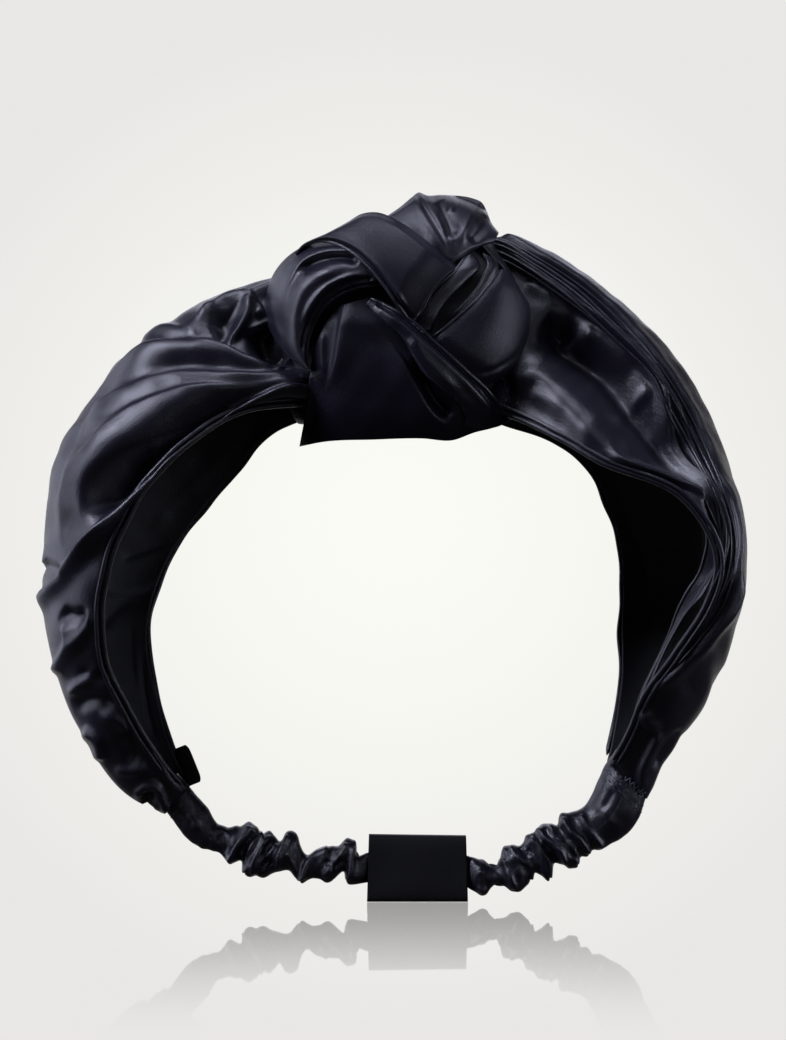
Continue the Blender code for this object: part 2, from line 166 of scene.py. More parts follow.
def grid_mesh(name, points, round_rows=False, caps=False):
    """A mesh over a grid of points: rows along, columns across, closed across the columns if round_rows
    is set, with a fan to a middle point at each end if caps is set. UV holds centimetres of cloth."""
    rows, columns = points.shape[:2]
    index = np.arange(rows * columns).reshape(rows, columns)
    right = np.roll(index, -1, axis=1) if round_rows else index[:, 1:]
    left = index if round_rows else index[:, :-1]
    quads = np.stack([left[:-1], left[1:], right[1:], right[:-1]], axis=-1).reshape(-1, 4)
    vertices = points.reshape(-1, 3)
    faces = quads.tolist()
    if caps:
        vertices = np.vstack([vertices, points[0].mean(0), points[-1].mean(0)])
        first, last = len(vertices) - 2, len(vertices) - 1
        ring = np.arange(columns)
        faces += np.stack([np.full(columns, first), ring, np.roll(ring, -1)], 1).tolist()
        ring = ring + (rows - 1) * columns
        faces += np.stack([np.full(columns, last), np.roll(ring, -1), ring], 1).tolist()
    mesh = bpy.data.meshes.new(name)
    mesh.from_pydata((vertices * MM).tolist(), [], faces)
    steps = np.linalg.norm(np.diff(points, axis=0), axis=-1).mean(1)
    along = np.concatenate([[0], np.cumsum(steps)]) / 10
    steps = np.linalg.norm(np.diff(points, axis=1), axis=-1).mean(0)
    across = np.concatenate([[0], np.cumsum(steps)]) / 10
    place = np.stack(np.meshgrid(along, across, indexing="ij"), axis=-1).reshape(-1, 2)
    place = np.vstack([place, np.zeros((len(vertices) - len(place), 2))])
    corners = np.empty(len(mesh.loops), np.int32)
    mesh.loops.foreach_get("vertex_index", corners)
    mesh.uv_layers.new(name="cloth").data.foreach_set("uv", place[corners].astype(np.float32).ravel())
    mesh.shade_smooth()
    return mesh


def piece(name, mesh, finish):
    """A new object for a mesh, named as the fine version of what it stands for."""
    obj = bpy.data.objects.new(f"fine_{name}", mesh)
    bpy.context.scene.collection.objects.link(obj)
    mesh.materials.append(finish)
    return obj


def cloth(name, points, finish, outwards, thick=CLOTH, round_rows=False):
    """A sheet of cloth over a grid of points, with its thickness grown inwards. outwards is a point that
    the sheet's face turns away from."""
    middle = points[points.shape[0] // 2, points.shape[1] // 2]
    facing = normals(points)[points.shape[0] // 2, points.shape[1] // 2]
    if facing @ (middle - np.asarray(outwards, float)) < 0:
        points = points[:, ::-1]
    obj = piece(name, grid_mesh(name, points, round_rows), finish)
    wall = obj.modifiers.new("thickness", "SOLIDIFY")
    wall.thickness = thick * MM
    wall.offset = -1
    return obj


def frames(path):
    """Two unit directions across a path at each of its points, one kept near +Y."""
    along = np.gradient(path, axis=0)
    along /= np.linalg.norm(along, axis=1, keepdims=True)
    deep = np.array([0.0, 1.0, 0.0]) - along * along[:, 1:2]
    deep /= np.maximum(np.linalg.norm(deep, axis=1, keepdims=True), 1e-9)
    return np.cross(deep, along), deep


def roll(name, path, radius, finish, sides=12):
    """A rolled edge or thread: a round section carried along a path, narrowing at its ends."""
    side, deep = frames(path)
    turn = np.linspace(0, 2 * np.pi, sides, endpoint=False)
    step = np.linspace(0, 1, len(path))
    size = radius * np.sqrt(np.clip(np.minimum(step, 1 - step) * len(path) / 3, 0.02, 1))
    ring = np.cos(turn)[None, :, None] * side[:, None, :] + np.sin(turn)[None, :, None] * deep[:, None, :]
    points = path[:, None, :] + ring * size[:, None, None]
    return piece(name, grid_mesh(name, points[:, ::-1], round_rows=True, caps=True), finish)


def joined(name, objects):
    """Several pieces of one kind made one object."""
    with bpy.context.temp_override(active_object=objects[0], selected_editable_objects=objects):
        bpy.ops.object.join()
    objects[0].name = f"fine_{name}"
    objects[0].data.name = name
    return objects[0]


# ---------------------------------------------------------------- materials


def node(tree, kind, values=None, **settings):
    """A new node with its settings, and the values of those inputs that nothing is linked to."""
    made = tree.nodes.new(kind)
    for key, value in settings.items():
        setattr(made, key, value)
    for key, value in (values or {}).items():
        made.inputs[key].default_value = value
    return made


def effect(name, inputs, outputs):
    """An empty node group with float inputs (name: default) and named outputs (name: socket type)."""
    group = bpy.data.node_groups.new(name, "ShaderNodeTree")
    for label, default in inputs.items():
        socket = group.interface.new_socket(label, in_out="INPUT", socket_type="NodeSocketFloat")
        socket.default_value = default
    for label, kind in outputs.items():
        group.interface.new_socket(label, in_out="OUTPUT", socket_type=kind)
    return group, node(group, "NodeGroupInput"), node(group, "NodeGroupOutput")


def satin_weave_effect():
    """Satin's surface: long floats along the cloth, a fine broken grain, and slow patches of tone. It puts
    out Height for a Bump, Tone for colour and Shine for roughness, all from 0 to 1."""
    group, given, out = effect(
        "satin_weave",
        {"Threads": 38.0, "Grain": 4200.0},
        {"Height": "NodeSocketFloat", "Tone": "NodeSocketFloat", "Shine": "NodeSocketFloat"},
    )
    link = group.links.new
    place = node(group, "ShaderNodeTexCoord")
    stretch = node(group, "ShaderNodeMapping", {"Scale": (0.12, 1.0, 1.0)})
    link(place.outputs["UV"], stretch.inputs["Vector"])
    floats = node(group, "ShaderNodeTexNoise", {"Detail": 2.0})
    link(stretch.outputs["Vector"], floats.inputs["Vector"])
    link(given.outputs["Threads"], floats.inputs["Scale"])
    grain = node(group, "ShaderNodeTexNoise", {"Detail": 3.0})
    link(place.outputs["Object"], grain.inputs["Vector"])
    link(given.outputs["Grain"], grain.inputs["Scale"])
    both = node(group, "ShaderNodeMath", {1: 0.45}, operation="MULTIPLY_ADD")
    link(floats.outputs["Fac"], both.inputs[0])
    half = node(group, "ShaderNodeMath", {1: 0.55}, operation="MULTIPLY")
    link(grain.outputs["Fac"], half.inputs[0])
    link(half.outputs[0], both.inputs[2])
    link(both.outputs[0], out.inputs["Height"])
    patches = node(group, "ShaderNodeTexNoise", {"Scale": 55.0, "Detail": 2.0})
    link(place.outputs["Object"], patches.inputs["Vector"])
    tone = node(group, "ShaderNodeMath", {1: 0.5}, operation="MULTIPLY_ADD")
    link(patches.outputs["Fac"], tone.inputs[0])
    link(half.outputs[0], tone.inputs[2])
    link(tone.outputs[0], out.inputs["Tone"])
    link(grain.outputs["Fac"], out.inputs["Shine"])
    return group


def between(tree, factor, low, high):
    """A value that runs from low to high as factor, a socket, runs over a noise's usual 0.25 to 0.75."""
    reach = {"From Min": 0.25, "From Max": 0.75, "To Min": low, "To Max": high}
    span = node(tree, "ShaderNodeMapRange", reach)
    tree.links.new(factor, span.inputs["Value"])
    return span.outputs["Result"]


def tinted(tree, factor, dark, light):
    """A colour that runs from dark to light as factor, a socket, runs from 0.3 to 0.75."""
    return ramp(tree, factor, (0.3, dark), (0.75, light))


def ramp(tree, factor, *stops):
    """A colour by factor, between two stops, each (place, colour)."""
    made = node(tree, "ShaderNodeValToRGB")
    for element, (position, colour) in zip(made.color_ramp.elements, stops):
        element.position = position
        element.color = (*colour, 1)
    tree.links.new(factor, made.inputs["Fac"])
    return made.outputs["Color"]


def surface(name):
    """A new material: its tree and its Principled shader."""
    made = bpy.data.materials.new(name)
    made.use_nodes = True
    return made, made.node_tree, made.node_tree.nodes["Principled BSDF"]


def bumped(tree, shader, height, distance, strength=1.0):
    """Relief from a height socket: distance is the height in metres of its full range."""
    bump = node(tree, "ShaderNodeBump", {"Distance": distance, "Strength": strength})
    tree.links.new(height, bump.inputs["Height"])
    tree.links.new(bump.outputs["Normal"], shader.inputs["Normal"])


def satin(name, dark, light, rough, sheen, gloss=0.62):
    """Satin: gloss is lower where the cloth is seen across its floats, which throw the light aside."""
    made, tree, shader = surface(name)
    weave = node(tree, "ShaderNodeGroup", node_tree=WEAVE)
    tree.links.new(tinted(tree, weave.outputs["Tone"], dark, light), shader.inputs["Base Color"])
    tree.links.new(between(tree, weave.outputs["Shine"], *rough), shader.inputs["Roughness"])
    bumped(tree, shader, weave.outputs["Height"], 0.0002, 0.75)
    shader.inputs["Specular IOR Level"].default_value = gloss
    shader.inputs["Sheen Weight"].default_value = sheen
    shader.inputs["Sheen Roughness"].default_value = 0.35
    shader.inputs["Sheen Tint"].default_value = (0.62, 0.66, 0.85, 1)
    return made


def ribbon_weave(name, dark, light):
    """A woven label: fine ribs across the ribbon, with a little unevenness from thread to thread."""
    made, tree, shader = surface(name)
    place = node(tree, "ShaderNodeTexCoord")
    rib = {"Scale": 420.0, "Distortion": 0.6}
    ribs = node(tree, "ShaderNodeTexWave", rib, wave_type="BANDS", bands_direction="Z")
    tree.links.new(place.outputs["Object"], ribs.inputs["Vector"])
    threads = node(tree, "ShaderNodeTexWave", {"Scale": 520.0}, wave_type="BANDS", bands_direction="X")
    tree.links.new(place.outputs["Object"], threads.inputs["Vector"])
    mixed = node(tree, "ShaderNodeMath", operation="MULTIPLY")
    tree.links.new(ribs.outputs["Fac"], mixed.inputs[0])
    tree.links.new(threads.outputs["Fac"], mixed.inputs[1])
    tree.links.new(tinted(tree, mixed.outputs[0], dark, light), shader.inputs["Base Color"])
    tree.links.new(between(tree, ribs.outputs["Fac"], 0.62, 0.8), shader.inputs["Roughness"])
    bumped(tree, shader, mixed.outputs[0], 0.00008, 0.8)
    shader.inputs["Specular IOR Level"].default_value = 0.3
    shader.inputs["Sheen Weight"].default_value = 0.05
    return made


def spun_thread(name, dark, light):
    """Sewing thread: twisted strands along its length and a soft gloss."""
    made, tree, shader = surface(name)
    place = node(tree, "ShaderNodeTexCoord")
    twist = node(tree, "ShaderNodeTexNoise", {"Scale": 2600.0})
    tree.links.new(place.outputs["Object"], twist.inputs["Vector"])
    tree.links.new(tinted(tree, twist.outputs["Fac"], dark, light), shader.inputs["Base Color"])
    tree.links.new(between(tree, twist.outputs["Fac"], 0.4, 0.6), shader.inputs["Roughness"])
    bumped(tree, shader, twist.outputs["Fac"], 0.00005)
    return made


# ---------------------------------------------------------------- the bands

# The same outlines as the frame's bands: loop angles, radii of the crown and edges, half width along Y, the
# angles at which the crown and the edges leave the knot, and where across the band the grid is finest
LEFT_BAND = {
    "angle": (96, 110, 120, 135, 150, 165, 180, 195, 210, 222, 228.5),
    "crown": (76, 82, 85, 88.5, 91, 93.5, 94.4, 95.6, 96, 95.4, 91.7),
    "front": (43, 46, 48.5, 56, 62, 68, 74, 79, 80.5, 82, 82.6),
    "back": (42, 44, 46, 49, 50, 54.5, 62.5, 70.5, 75, 80, 82.5),
    "half": (10, 15, 20, 29, 35, 37, 36, 31, 22, 12, 6.5),
    "crown_from": 100.0,
    "edge_from": 108.0,
    "finest": -50.0,
}
RIGHT_BAND = {
    "angle": (-43.6, -36, -27, -18, -8, 3, 13, 24, 36, 50, 66, 80),
    "crown": (94, 91.4, 92.2, 93.4, 94.3, 94.4, 94.3, 94, 94, 93, 92.5, 88),
    "front": (80.2, 78, 76, 78, 83, 84, 77, 62, 55, 50, 47, 44),
    "back": (80, 75, 70.5, 66.5, 64.5, 63.5, 62, 60.5, 56, 49, 46, 44),
    "half": (7, 13, 21, 28, 33, 36, 37, 36, 31, 24, 18, 12),
    "crown_from": 76.0,
    "edge_from": 66.0,
    "finest": -30.0,
}

# Folds: (line, height, width on its left, width on its right, fade in, fade out). Heights and widths in mm
LEFT_FOLDS = [
    # the long pleat that comes out of the knot and turns down the outside
    (((-22, 141.8), (-32, 142), (-41, 145), (-47, 148.3), (-54, 149.8), (-62, 149), (-70, 146), (-78, 139)),
     3.4, 4.2, 1.5, 0, 0.25),
    (((-22, 142.8), (-32, 143.2), (-41, 146.3), (-47, 149.6), (-54, 151), (-62, 150.2), (-70, 147.2)),
     0.9, 0.5, 0.6, 0, 0.3),
    (((-26, 141), (-38, 141.8), (-48, 144.5), (-58, 145), (-66, 142.5), (-73, 139)),
     -2.2, 2.0, 1.8, 0.1, 0.35),
    (((-22, 140), (-34, 139.7), (-44, 139.9), (-54, 140.6), (-62, 140), (-70, 137.2), (-78, 133), (-86, 125)),
     3.0, 5.5, 1.7, 0, 0.2),
    (((-22, 139), (-36, 137.2), (-46, 136.5), (-56, 136), (-64, 133.5), (-70, 130.5), (-77, 124.5),
      (-83, 116), (-87, 108)), 1.7, 4.5, 1.1, 0, 0.25),
    # the broad face under it, fullest where it turns down into the hollow
    (((-24, 137.6), (-38, 134.6), (-50, 131), (-60, 127), (-68, 123.4), (-76, 119.6), (-81.5, 114),
      (-84, 107), (-85.5, 99)), 4.0, 2.4, 9.0, 0.12, 0.2),
    # the deep hollow inside the front edge
    (((-26, 137), (-38, 134.8), (-50, 129.8), (-60, 124), (-70, 116.5), (-78, 108.5), (-83, 101)),
     -6.0, 3.4, 4.2, 0.25, 0.22),
    (((-62, 121.5), (-70, 115.5), (-77, 109.5), (-82, 103)), -3.4, 4.0, 4.5, 0.3, 0.3),
    # the fold that lies along the front edge and runs off to the outside
    (((-22, 136.6), (-34, 135.3), (-42, 132.4), (-50, 127.4), (-60, 120), (-70, 110.2), (-78, 102),
      (-84, 95.5), (-89, 89)), 3.6, 2.6, 0.9, 0, 0.2),
    (((-76, 104), (-81, 98.8), (-86, 92.8), (-90, 88), (-93.4, 84), (-96, 81)), 1.9, 2.4, 0.8, 0.35, 0),
    (((-30, 133.6), (-42, 130.4), (-52, 123.6), (-62, 115), (-71, 105.5), (-77, 96)),
     -1.6, 1.2, 0.9, 0.1, 0.2),
    # the crumpled part beside the knot
    (((-30, 166.6), (-38, 163.6), (-45, 162.2), (-50, 158.5), (-54, 154)), 2.2, 1.6, 1.4, 0, 0.3),
    (((-45.5, 150.3), (-42, 153.6), (-39.5, 157.5), (-38.2, 162)), 3.6, 1.8, 1.0, 0.25, 0.1),
    (((-38.2, 162.2), (-36.6, 160.5), (-35.4, 157)), 2.2, 0.8, 1.6, 0, 0.3),
    (((-47, 159), (-45, 155), (-48, 152)), -3.6, 3.2, 2.6, 0.2, 0.2),
    (((-35.5, 156), (-33, 150), (-29, 146)), -6.5, 4.5, 4.0, 0.1, 0.1),
    (((-68, 148), (-65, 152.6), (-60, 154.6), (-55.5, 153)), 1.5, 1.2, 2.2, 0.3, 0.3),
    (((-57, 151.5), (-53, 156), (-47, 160.5)), 1.6, 3.0, 3.0, 0.3, 0.3),
    (((-63, 151.5), (-58, 150.8), (-50, 151)), -1.2, 1.4, 1.4, 0.3, 0.3),
    # long soft pleats down the outside
    (((-72, 147), (-80, 137), (-87, 124), (-90.5, 112)), 1.3, 1.4, 2.2, 0.2, 0.3),
    (((-74, 141), (-82.5, 130), (-88, 117), (-90, 106)), -1.3, 1.4, 1.4, 0.3, 0.3),
    (((-80, 124), (-86, 113), (-89, 102), (-90, 94)), 1.1, 1.2, 1.8, 0.3, 0.3),
    # dents and crumples of the lower half
    (((-95, 91), (-91.5, 89.4), (-88.6, 90)), -1.4, 1.8, 2.4, 0.1, 0.4),
    (((-89.5, 79), (-86, 77.2), (-82, 78)), -1.8, 1.2, 2.4, 0.25, 0.3),
    (((-89, 76), (-87.5, 70.5), (-90.5, 64), (-91.5, 60.5)), 1.8, 2.6, 1.0, 0.2, 0.2),
    (((-81, 80), (-83.5, 73), (-88, 66.5)), 1.3, 1.5, 1.6, 0.3, 0.3),
    (((-86, 62), (-80, 61), (-75, 62)), -1.6, 1.6, 1.6, 0.3, 0.3),
    (((-88, 55), (-83, 60), (-78, 63.5)), 1.5, 1.4, 1.6, 0.25, 0.3),
    (((-87, 53), (-80, 54.4), (-74, 52)), -1.8, 1.4, 2.2, 0.2, 0.3),
    (((-84, 47), (-79.5, 44), (-78, 37.5)), 1.8, 1.2, 2.2, 0.2, 0.2),
    (((-80, 51), (-74, 48.8), (-70, 44)), 1.2, 1.4, 1.8, 0.3, 0.3),
    (((-74, 46), (-70.5, 41), (-70, 36)), -1.8, 2.4, 2.4, 0.3, 0.3),
    (((-76, 36), (-71, 35.5), (-66, 37)), 1.3, 1.2, 1.6, 0.3, 0.3),
    (((-70, 27.5), (-67.5, 30.8), (-64, 31.6), (-62.3, 28), (-60.5, 24)), 1.9, 0.9, 1.3, 0.2, 0.1),
    (((-67.5, 27.5), (-64.5, 27.3)), -2.4, 1.8, 1.8, 0.1, 0.1),
    (((-66, 44), (-63, 38), (-60, 32), (-57, 29)), 0.9, 1.0, 1.4, 0.3, 0.2),
]

RIGHT_FOLDS = [
    # close pleats along the outside, each a slope with a sharp step on its inner side
    (((18, 179.6), (28, 179), (40, 173), (52, 165), (62, 156), (71, 145.8), (79, 133.4), (85, 121.4),
      (90, 108.5), (92.4, 97), (91.6, 88), (88, 78), (83, 71), (77, 64)), 2.2, 2.4, 0.42, 0, 0.15),
    (((18, 178.2), (29, 177), (38, 172), (50, 163.7), (60, 154.4), (70, 144.2), (77, 133), (83.5, 121),
      (88.8, 109), (91.2, 98), (90.4, 89), (87, 80.4), (82, 73.6), (76.6, 67.4)), 1.8, 1.0, 0.40, 0, 0.15),
    (((19, 177.4), (29, 175.2), (38, 170), (49, 161.9), (59, 152.7), (69, 142.7), (75.6, 131.4), (82, 120),
      (87.2, 109.6), (89.8, 99), (88.8, 91), (85.6, 83.4)), 1.8, 1.0, 0.40, 0, 0.2),
    (((24, 175.6), (31, 172.6), (37, 169.2), (44, 164.4), (54, 157), (63, 149), (70.4, 141.4), (75, 130.4),
      (80, 121.8), (85, 113), (88, 104), (88.4, 96)), 2.2, 0.9, 0.55, 0, 0.2),
    (((82, 117), (85.4, 110.6), (87.6, 104), (87.8, 98), (86, 91)), -2.4, 1.2, 1.8, 0.4, 0.3),
    (((36, 167.6), (40, 164.8), (44, 162.6)), 1.0, 1.6, 1.8, 0.35, 0.35),
    (((44, 152.6), (50, 153), (55, 153.6)), 2.2, 2.2, 1.8, 0.35, 0.2),
    (((52, 156), (55, 153.4), (60, 149.5), (66, 144.6)), 1.6, 1.6, 2.6, 0.3, 0.35),
    (((65, 137), (68.5, 138.4), (71, 140)), 1.2, 1.8, 2.0, 0.4, 0.35),
    (((71, 139), (74, 133.5), (78, 126)), 0.8, 1.2, 2.4, 0.3, 0.35),
    # the broad dark hollow
    (((41, 160.5), (48, 152), (58, 144.5), (67, 134.5), (76.5, 124), (84, 114.6), (87, 106.5)),
     -8.8, 4.6, 7.5, 0.12, 0.32),
    (((50, 156.3), (45, 156.5), (41, 158)), -3.0, 1.8, 1.8, 0.2, 0.3),
    # the roll along the inner edge
    (((30, 139), (38, 141.4), (46, 135.6), (53, 128.6), (58, 122.5), (64, 119)), 2.6, 4.0, 3.6, 0.1, 0.35),
    (((34, 138.4), (42, 134.4), (50, 127.6), (56, 120.6)), 1.1, 2.2, 2.2, 0.2, 0.3),
    (((57, 124), (60, 119.8), (66, 117.6), (72, 116.2), (78, 114), (83, 111), (86.5, 107)),
     2.4, 1.4, 0.9, 0.2, 0.15),
    (((54, 118.2), (62, 116), (70, 114.5), (77, 112.4), (82, 109.8)), -1.3, 0.8, 0.8, 0.2, 0.2),
    # below the widest part
    (((92.6, 92), (90.6, 81), (85, 72), (78.5, 64.4), (73, 59.2), (70.4, 54.4)), 1.9, 2.6, 0.9, 0.2, 0.2),
    (((91.5, 90), (88.6, 82), (82.6, 74), (76, 66), (70.6, 59.4), (67.6, 51)), -1.5, 0.9, 0.9, 0.15, 0.15),
    (((68.6, 53), (68.2, 49.2), (72.6, 46)), 1.6, 2.2, 2.0, 0.3, 0.3),
    (((72.5, 47), (69.6, 41.5), (67.2, 36.5), (66.4, 30)), 1.5, 2.2, 0.9, 0.2, 0.1),
    (((79.4, 47), (74, 41.6), (70.4, 35.5)), -1.1, 1.3, 1.5, 0.25, 0.2),
    (((88, 66), (84, 60), (77.6, 55)), -0.9, 3.5, 3.5, 0.3, 0.3),
]

LEFT_LINING_FOLDS = [
    (((-36, 129), (-38.5, 124.5), (-43, 122)), 1.6, 1.2, 2.0, 0.2, 0.3),
    (((-33, 130), (-40, 127), (-50, 122), (-58, 116)), 1.0, 1.8, 1.8, 0.2, 0.3),
    (((-44, 121), (-52, 114), (-60, 106), (-67, 98)), -1.2, 2.0, 1.6, 0.2, 0.3),
    (((-52, 110), (-58, 107), (-62, 103)), 1.2, 2.0, 2.0, 0.3, 0.3),
    (((-79, 79), (-76, 80.6), (-71, 82), (-65, 84), (-61, 88)), 2.0, 1.2, 3.0, 0.1, 0.2),
    (((-60, 97), (-66, 95), (-74, 92)), 1.0, 1.0, 2.0, 0.2, 0.3),
    (((-78, 84), (-76.6, 79), (-78.6, 73)), 0.9, 1.2, 1.2, 0.2, 0.2),
    (((-70.6, 76), (-70.4, 66), (-69.4, 57)), 0.8, 0.7, 0.9, 0.3, 0.3),
    (((-67.6, 68), (-67, 58), (-65.4, 49), (-63.6, 43)), 1.1, 0.6, 0.9, 0.2, 0.2),
]

RIGHT_LINING_FOLDS = [
    (((60, 113), (64.7, 100), (68.4, 90), (69.6, 78), (69, 66)), 0.9, 0.9, 1.2, 0.1, 0.4),
    (((80, 98), (77, 96), (74, 97)), 0.6, 2.0, 2.0, 0.3, 0.3),
]


# How the bands are made up, in mm and shares
PANEL_GRID = (236, 200)  # steps along and across an outer panel
PANEL_SPREAD = 34  # the degrees over which its finest columns spread
LINING_GRID = (200, 120)
LINING_FINEST, LINING_SPREAD = 40, 60
LINING_IN = 1.9  # how far the lining's plain shape lies inside the panel's
BACK_SHARE = 0.55  # the folds' height on the far half, as a share of the drawn height
WRINKLE = 0.22  # the outer cloth's fine unevenness
HEM_STEPS = 220
CREASE = 0.36  # the radius of a pleat's pressed edge
CREASE_BLUR = 15  # the steps over which its depth is smoothed


def along_band(band, angle, key):
    """A band's radius or half width at a loop angle, held at its end value past either end."""
    return through(band["angle"], band[key], np.clip(angle, band["angle"][0], band["angle"][-1]))


def band_base(band, end, inset, along, across):
    """A band's plain shape: at each loop angle two quarter ellipses meet at the crown, one to the front edge
    and one to the back edge. along runs 0 to 1 from the knot, across -90 to 90 degrees."""
    turn = np.radians(across)
    start = band["edge_from"] + (band["crown_from"] - band["edge_from"]) * np.cos(turn)
    angle = start + (end - start) * along
    crown, front, back, half = (along_band(band, angle, key) for key in ("crown", "front", "back", "half"))
    edge = np.where(across < 0, front, back)
    radius = edge + (crown - inset - edge) * np.cos(turn)
    way = np.radians(angle)
    x = LOOP_X + radius * np.cos(way)
    z = LOOP_Z + radius * np.sin(way)
    return np.stack([x, (half - inset) * np.sin(turn), z], axis=-1)


def outer_height(base, folds, seed):
    """How far the outer cloth stands out from its plain shape. What faces the eye takes the folds as they
    are drawn; the far half takes them at BACK_SHARE of their height, so both halves are pleated."""
    x, z = in_front_view(base)
    share = BACK_SHARE + (1 - BACK_SHARE) * ease((10 - base[..., 1]) / 8)
    height = fold_height(x, z, folds) * share
    return height + WRINKLE * unevenness(base[..., 0], base[..., 2] + 0.6 * base[..., 1], 9, seed)


def outward(base, facing):
    """The plain shape's normals, all on the side that faces out of the loop."""
    normal = normals(base)
    middle = normal[base.shape[0] // 2, base.shape[1] // 2]
    return normal if middle @ facing > 0 else -normal


def band_grid(rows, columns, densest, spread):
    """Even steps along. Across, the columns crowd where the folds are finest: their density is three times
    as high at the densest angle, and falls off over the spread."""
    angle = np.linspace(-90, 90, 721)
    density = 1 + 2 * np.exp(-(((angle - densest) / spread) ** 2))
    share = np.concatenate([[0], np.cumsum((density[1:] + density[:-1]) / 2)])
    across = np.interp(np.linspace(0, share[-1], columns), share, angle)
    return np.linspace(0, 1, rows)[:, None], across[None, :]


def edge_path(band, end, side, drop, aside, rows, shorten=0.0):
    """A line along a band's front (-1) or back (1) edge, dropped towards the loop's middle."""
    angle = np.linspace(band["edge_from"], end + np.sign(band["edge_from"] - end) * shorten, rows)
    radius = along_band(band, angle, "front" if side < 0 else "back") - drop
    way = np.radians(angle)
    depth = side * (along_band(band, angle, "half") - aside)
    return np.stack([LOOP_X + radius * np.cos(way), depth, LOOP_Z + radius * np.sin(way)], axis=1)


def hem(name, band, end, front_back):
    """A sewn edge: two fine rolls side by side along it, as the turned edge and the seam beside it."""
    wave = 0.35 * unevenness(np.linspace(0, 240, HEM_STEPS), np.zeros(HEM_STEPS), 26, len(name))
    rolls = []
    for part, drop, aside, radius in (("", 0.2, 0.25, 0.75), ("_seam", -1.3, -0.35, 0.6)):
        path = edge_path(band, end, front_back, drop, aside, HEM_STEPS, 1.0)
        path[:, 0] += wave
        rolls.append(roll(name + part, path, radius, SATIN_OUT))
    made = joined(name, rolls)
    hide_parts(name)
    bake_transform(made)


def make_band(side, band, end, folds, creased, lining_folds, facing, seed):
    """One band: its pleated outer cloth, the lining inside it, the sewn edges and the pressed edges of the
    folds whose numbers creased lists. The lining keeps below the outer cloth wherever a deep fold dips into
    the band."""
    along, across = band_grid(*PANEL_GRID, band["finest"], PANEL_SPREAD)
    base = band_base(band, end, 0.0, along, across)
    height = outer_height(base, folds, seed)
    panel = base + outward(base, facing) * height[..., None]
    outer = cloth(f"{side}_outer_panel", panel, SATIN_OUT, outwards=(LOOP_X, 0, LOOP_Z))
    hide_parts(f"{side}_outer_panel")
    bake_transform(outer)
    along, across = band_grid(*LINING_GRID, LINING_FINEST, LINING_SPREAD)
    base = band_base(band, end, LINING_IN, along, across)
    x, z = in_front_view(base)
    height = fold_height(x, z, lining_folds) * ease((base[..., 1] + 2) / 6)
    height += 0.25 * unevenness(base[..., 0], base[..., 2] + 0.5 * base[..., 1], 12, seed + 1)
    height *= 1 - 0.8 * np.abs(np.sin(np.radians(across))) ** 8
    above = outer_height(base, folds, seed)
    height = np.minimum(height, above + 0.6 - 2.0 * ease((-above - 0.8) / 2.5))
    points = base + outward(base, facing) * height[..., None]
    lining = cloth(f"{side}_lining", points, SATIN_IN, outwards=(LOOP_X, 0, LOOP_Z))
    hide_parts(f"{side}_lining")
    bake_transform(lining)
    hem(f"{side}_front_hem", band, end, -1)
    hem(f"{side}_back_hem", band, end, 1)
    if creased:
        make_creases(side, panel, [folds[number][0] for number in creased])


def make_creases(side, points, lines):
    """The pressed edges of a band's pleats: fine rolls along lines drawn in front elevation, each laid on the
    cloth that the eye sees there. A roll's depth is that of the nearest to the eye of the six cloth points
    beside it, smoothed along the line by a moving mean."""
    x, z = in_front_view(points)
    seen = points[..., 1] < 8
    drawn = np.stack([x[seen], z[seen]], axis=-1)
    depths = points[seen][:, 1]
    rolls = []
    for number, line in enumerate(lines):
        path = curve(line, 12 * len(line))
        apart = ((path[:, None, :] - drawn[None]) ** 2).sum(-1)
        nearest = np.argpartition(apart, 6, axis=1)[:, :6]
        depth = np.pad(depths[nearest].min(1), CREASE_BLUR // 2, mode="edge")
        depth = np.convolve(depth, np.ones(CREASE_BLUR) / CREASE_BLUR, mode="valid") - 0.15
        laid = from_eye(path[:, 0], path[:, 1], depth)
        rolls.append(roll(f"{side}_crease_{number}", laid, CREASE, SATIN_OUT, sides=8))
    made = joined(f"{side}_creases", rolls)
    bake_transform(made)


# Edges of the cloth layers that lie inside the right band's front edge, from the top down
RIGHT_LAYERS = (
    ((84.5, 108.5), (86.5, 104), (88.6, 98), (88.4, 93), (86.6, 88), (84, 83), (79.6, 78), (76, 72),
     (72.5, 65), (69.4, 57), (67.4, 49), (65.4, 42), (63.6, 36)),
    ((83, 109), (85, 105.5), (87, 101), (88, 96.6), (87.2, 91), (84.2, 85.6), (80.6, 80.2), (77, 75),
     (74, 69.6), (71.2, 64), (68, 57), (66, 49.4), (64, 42), (62.6, 36.4)),
    ((82.4, 107), (84, 102.4), (84.8, 97), (84, 93), (82.6, 88.6), (79.6, 84), (77, 79), (75, 73.4),
     (72.6, 67.8), (70, 62.4), (66.6, 55), (64.6, 47), (63, 41), (61.8, 36.8)),
)


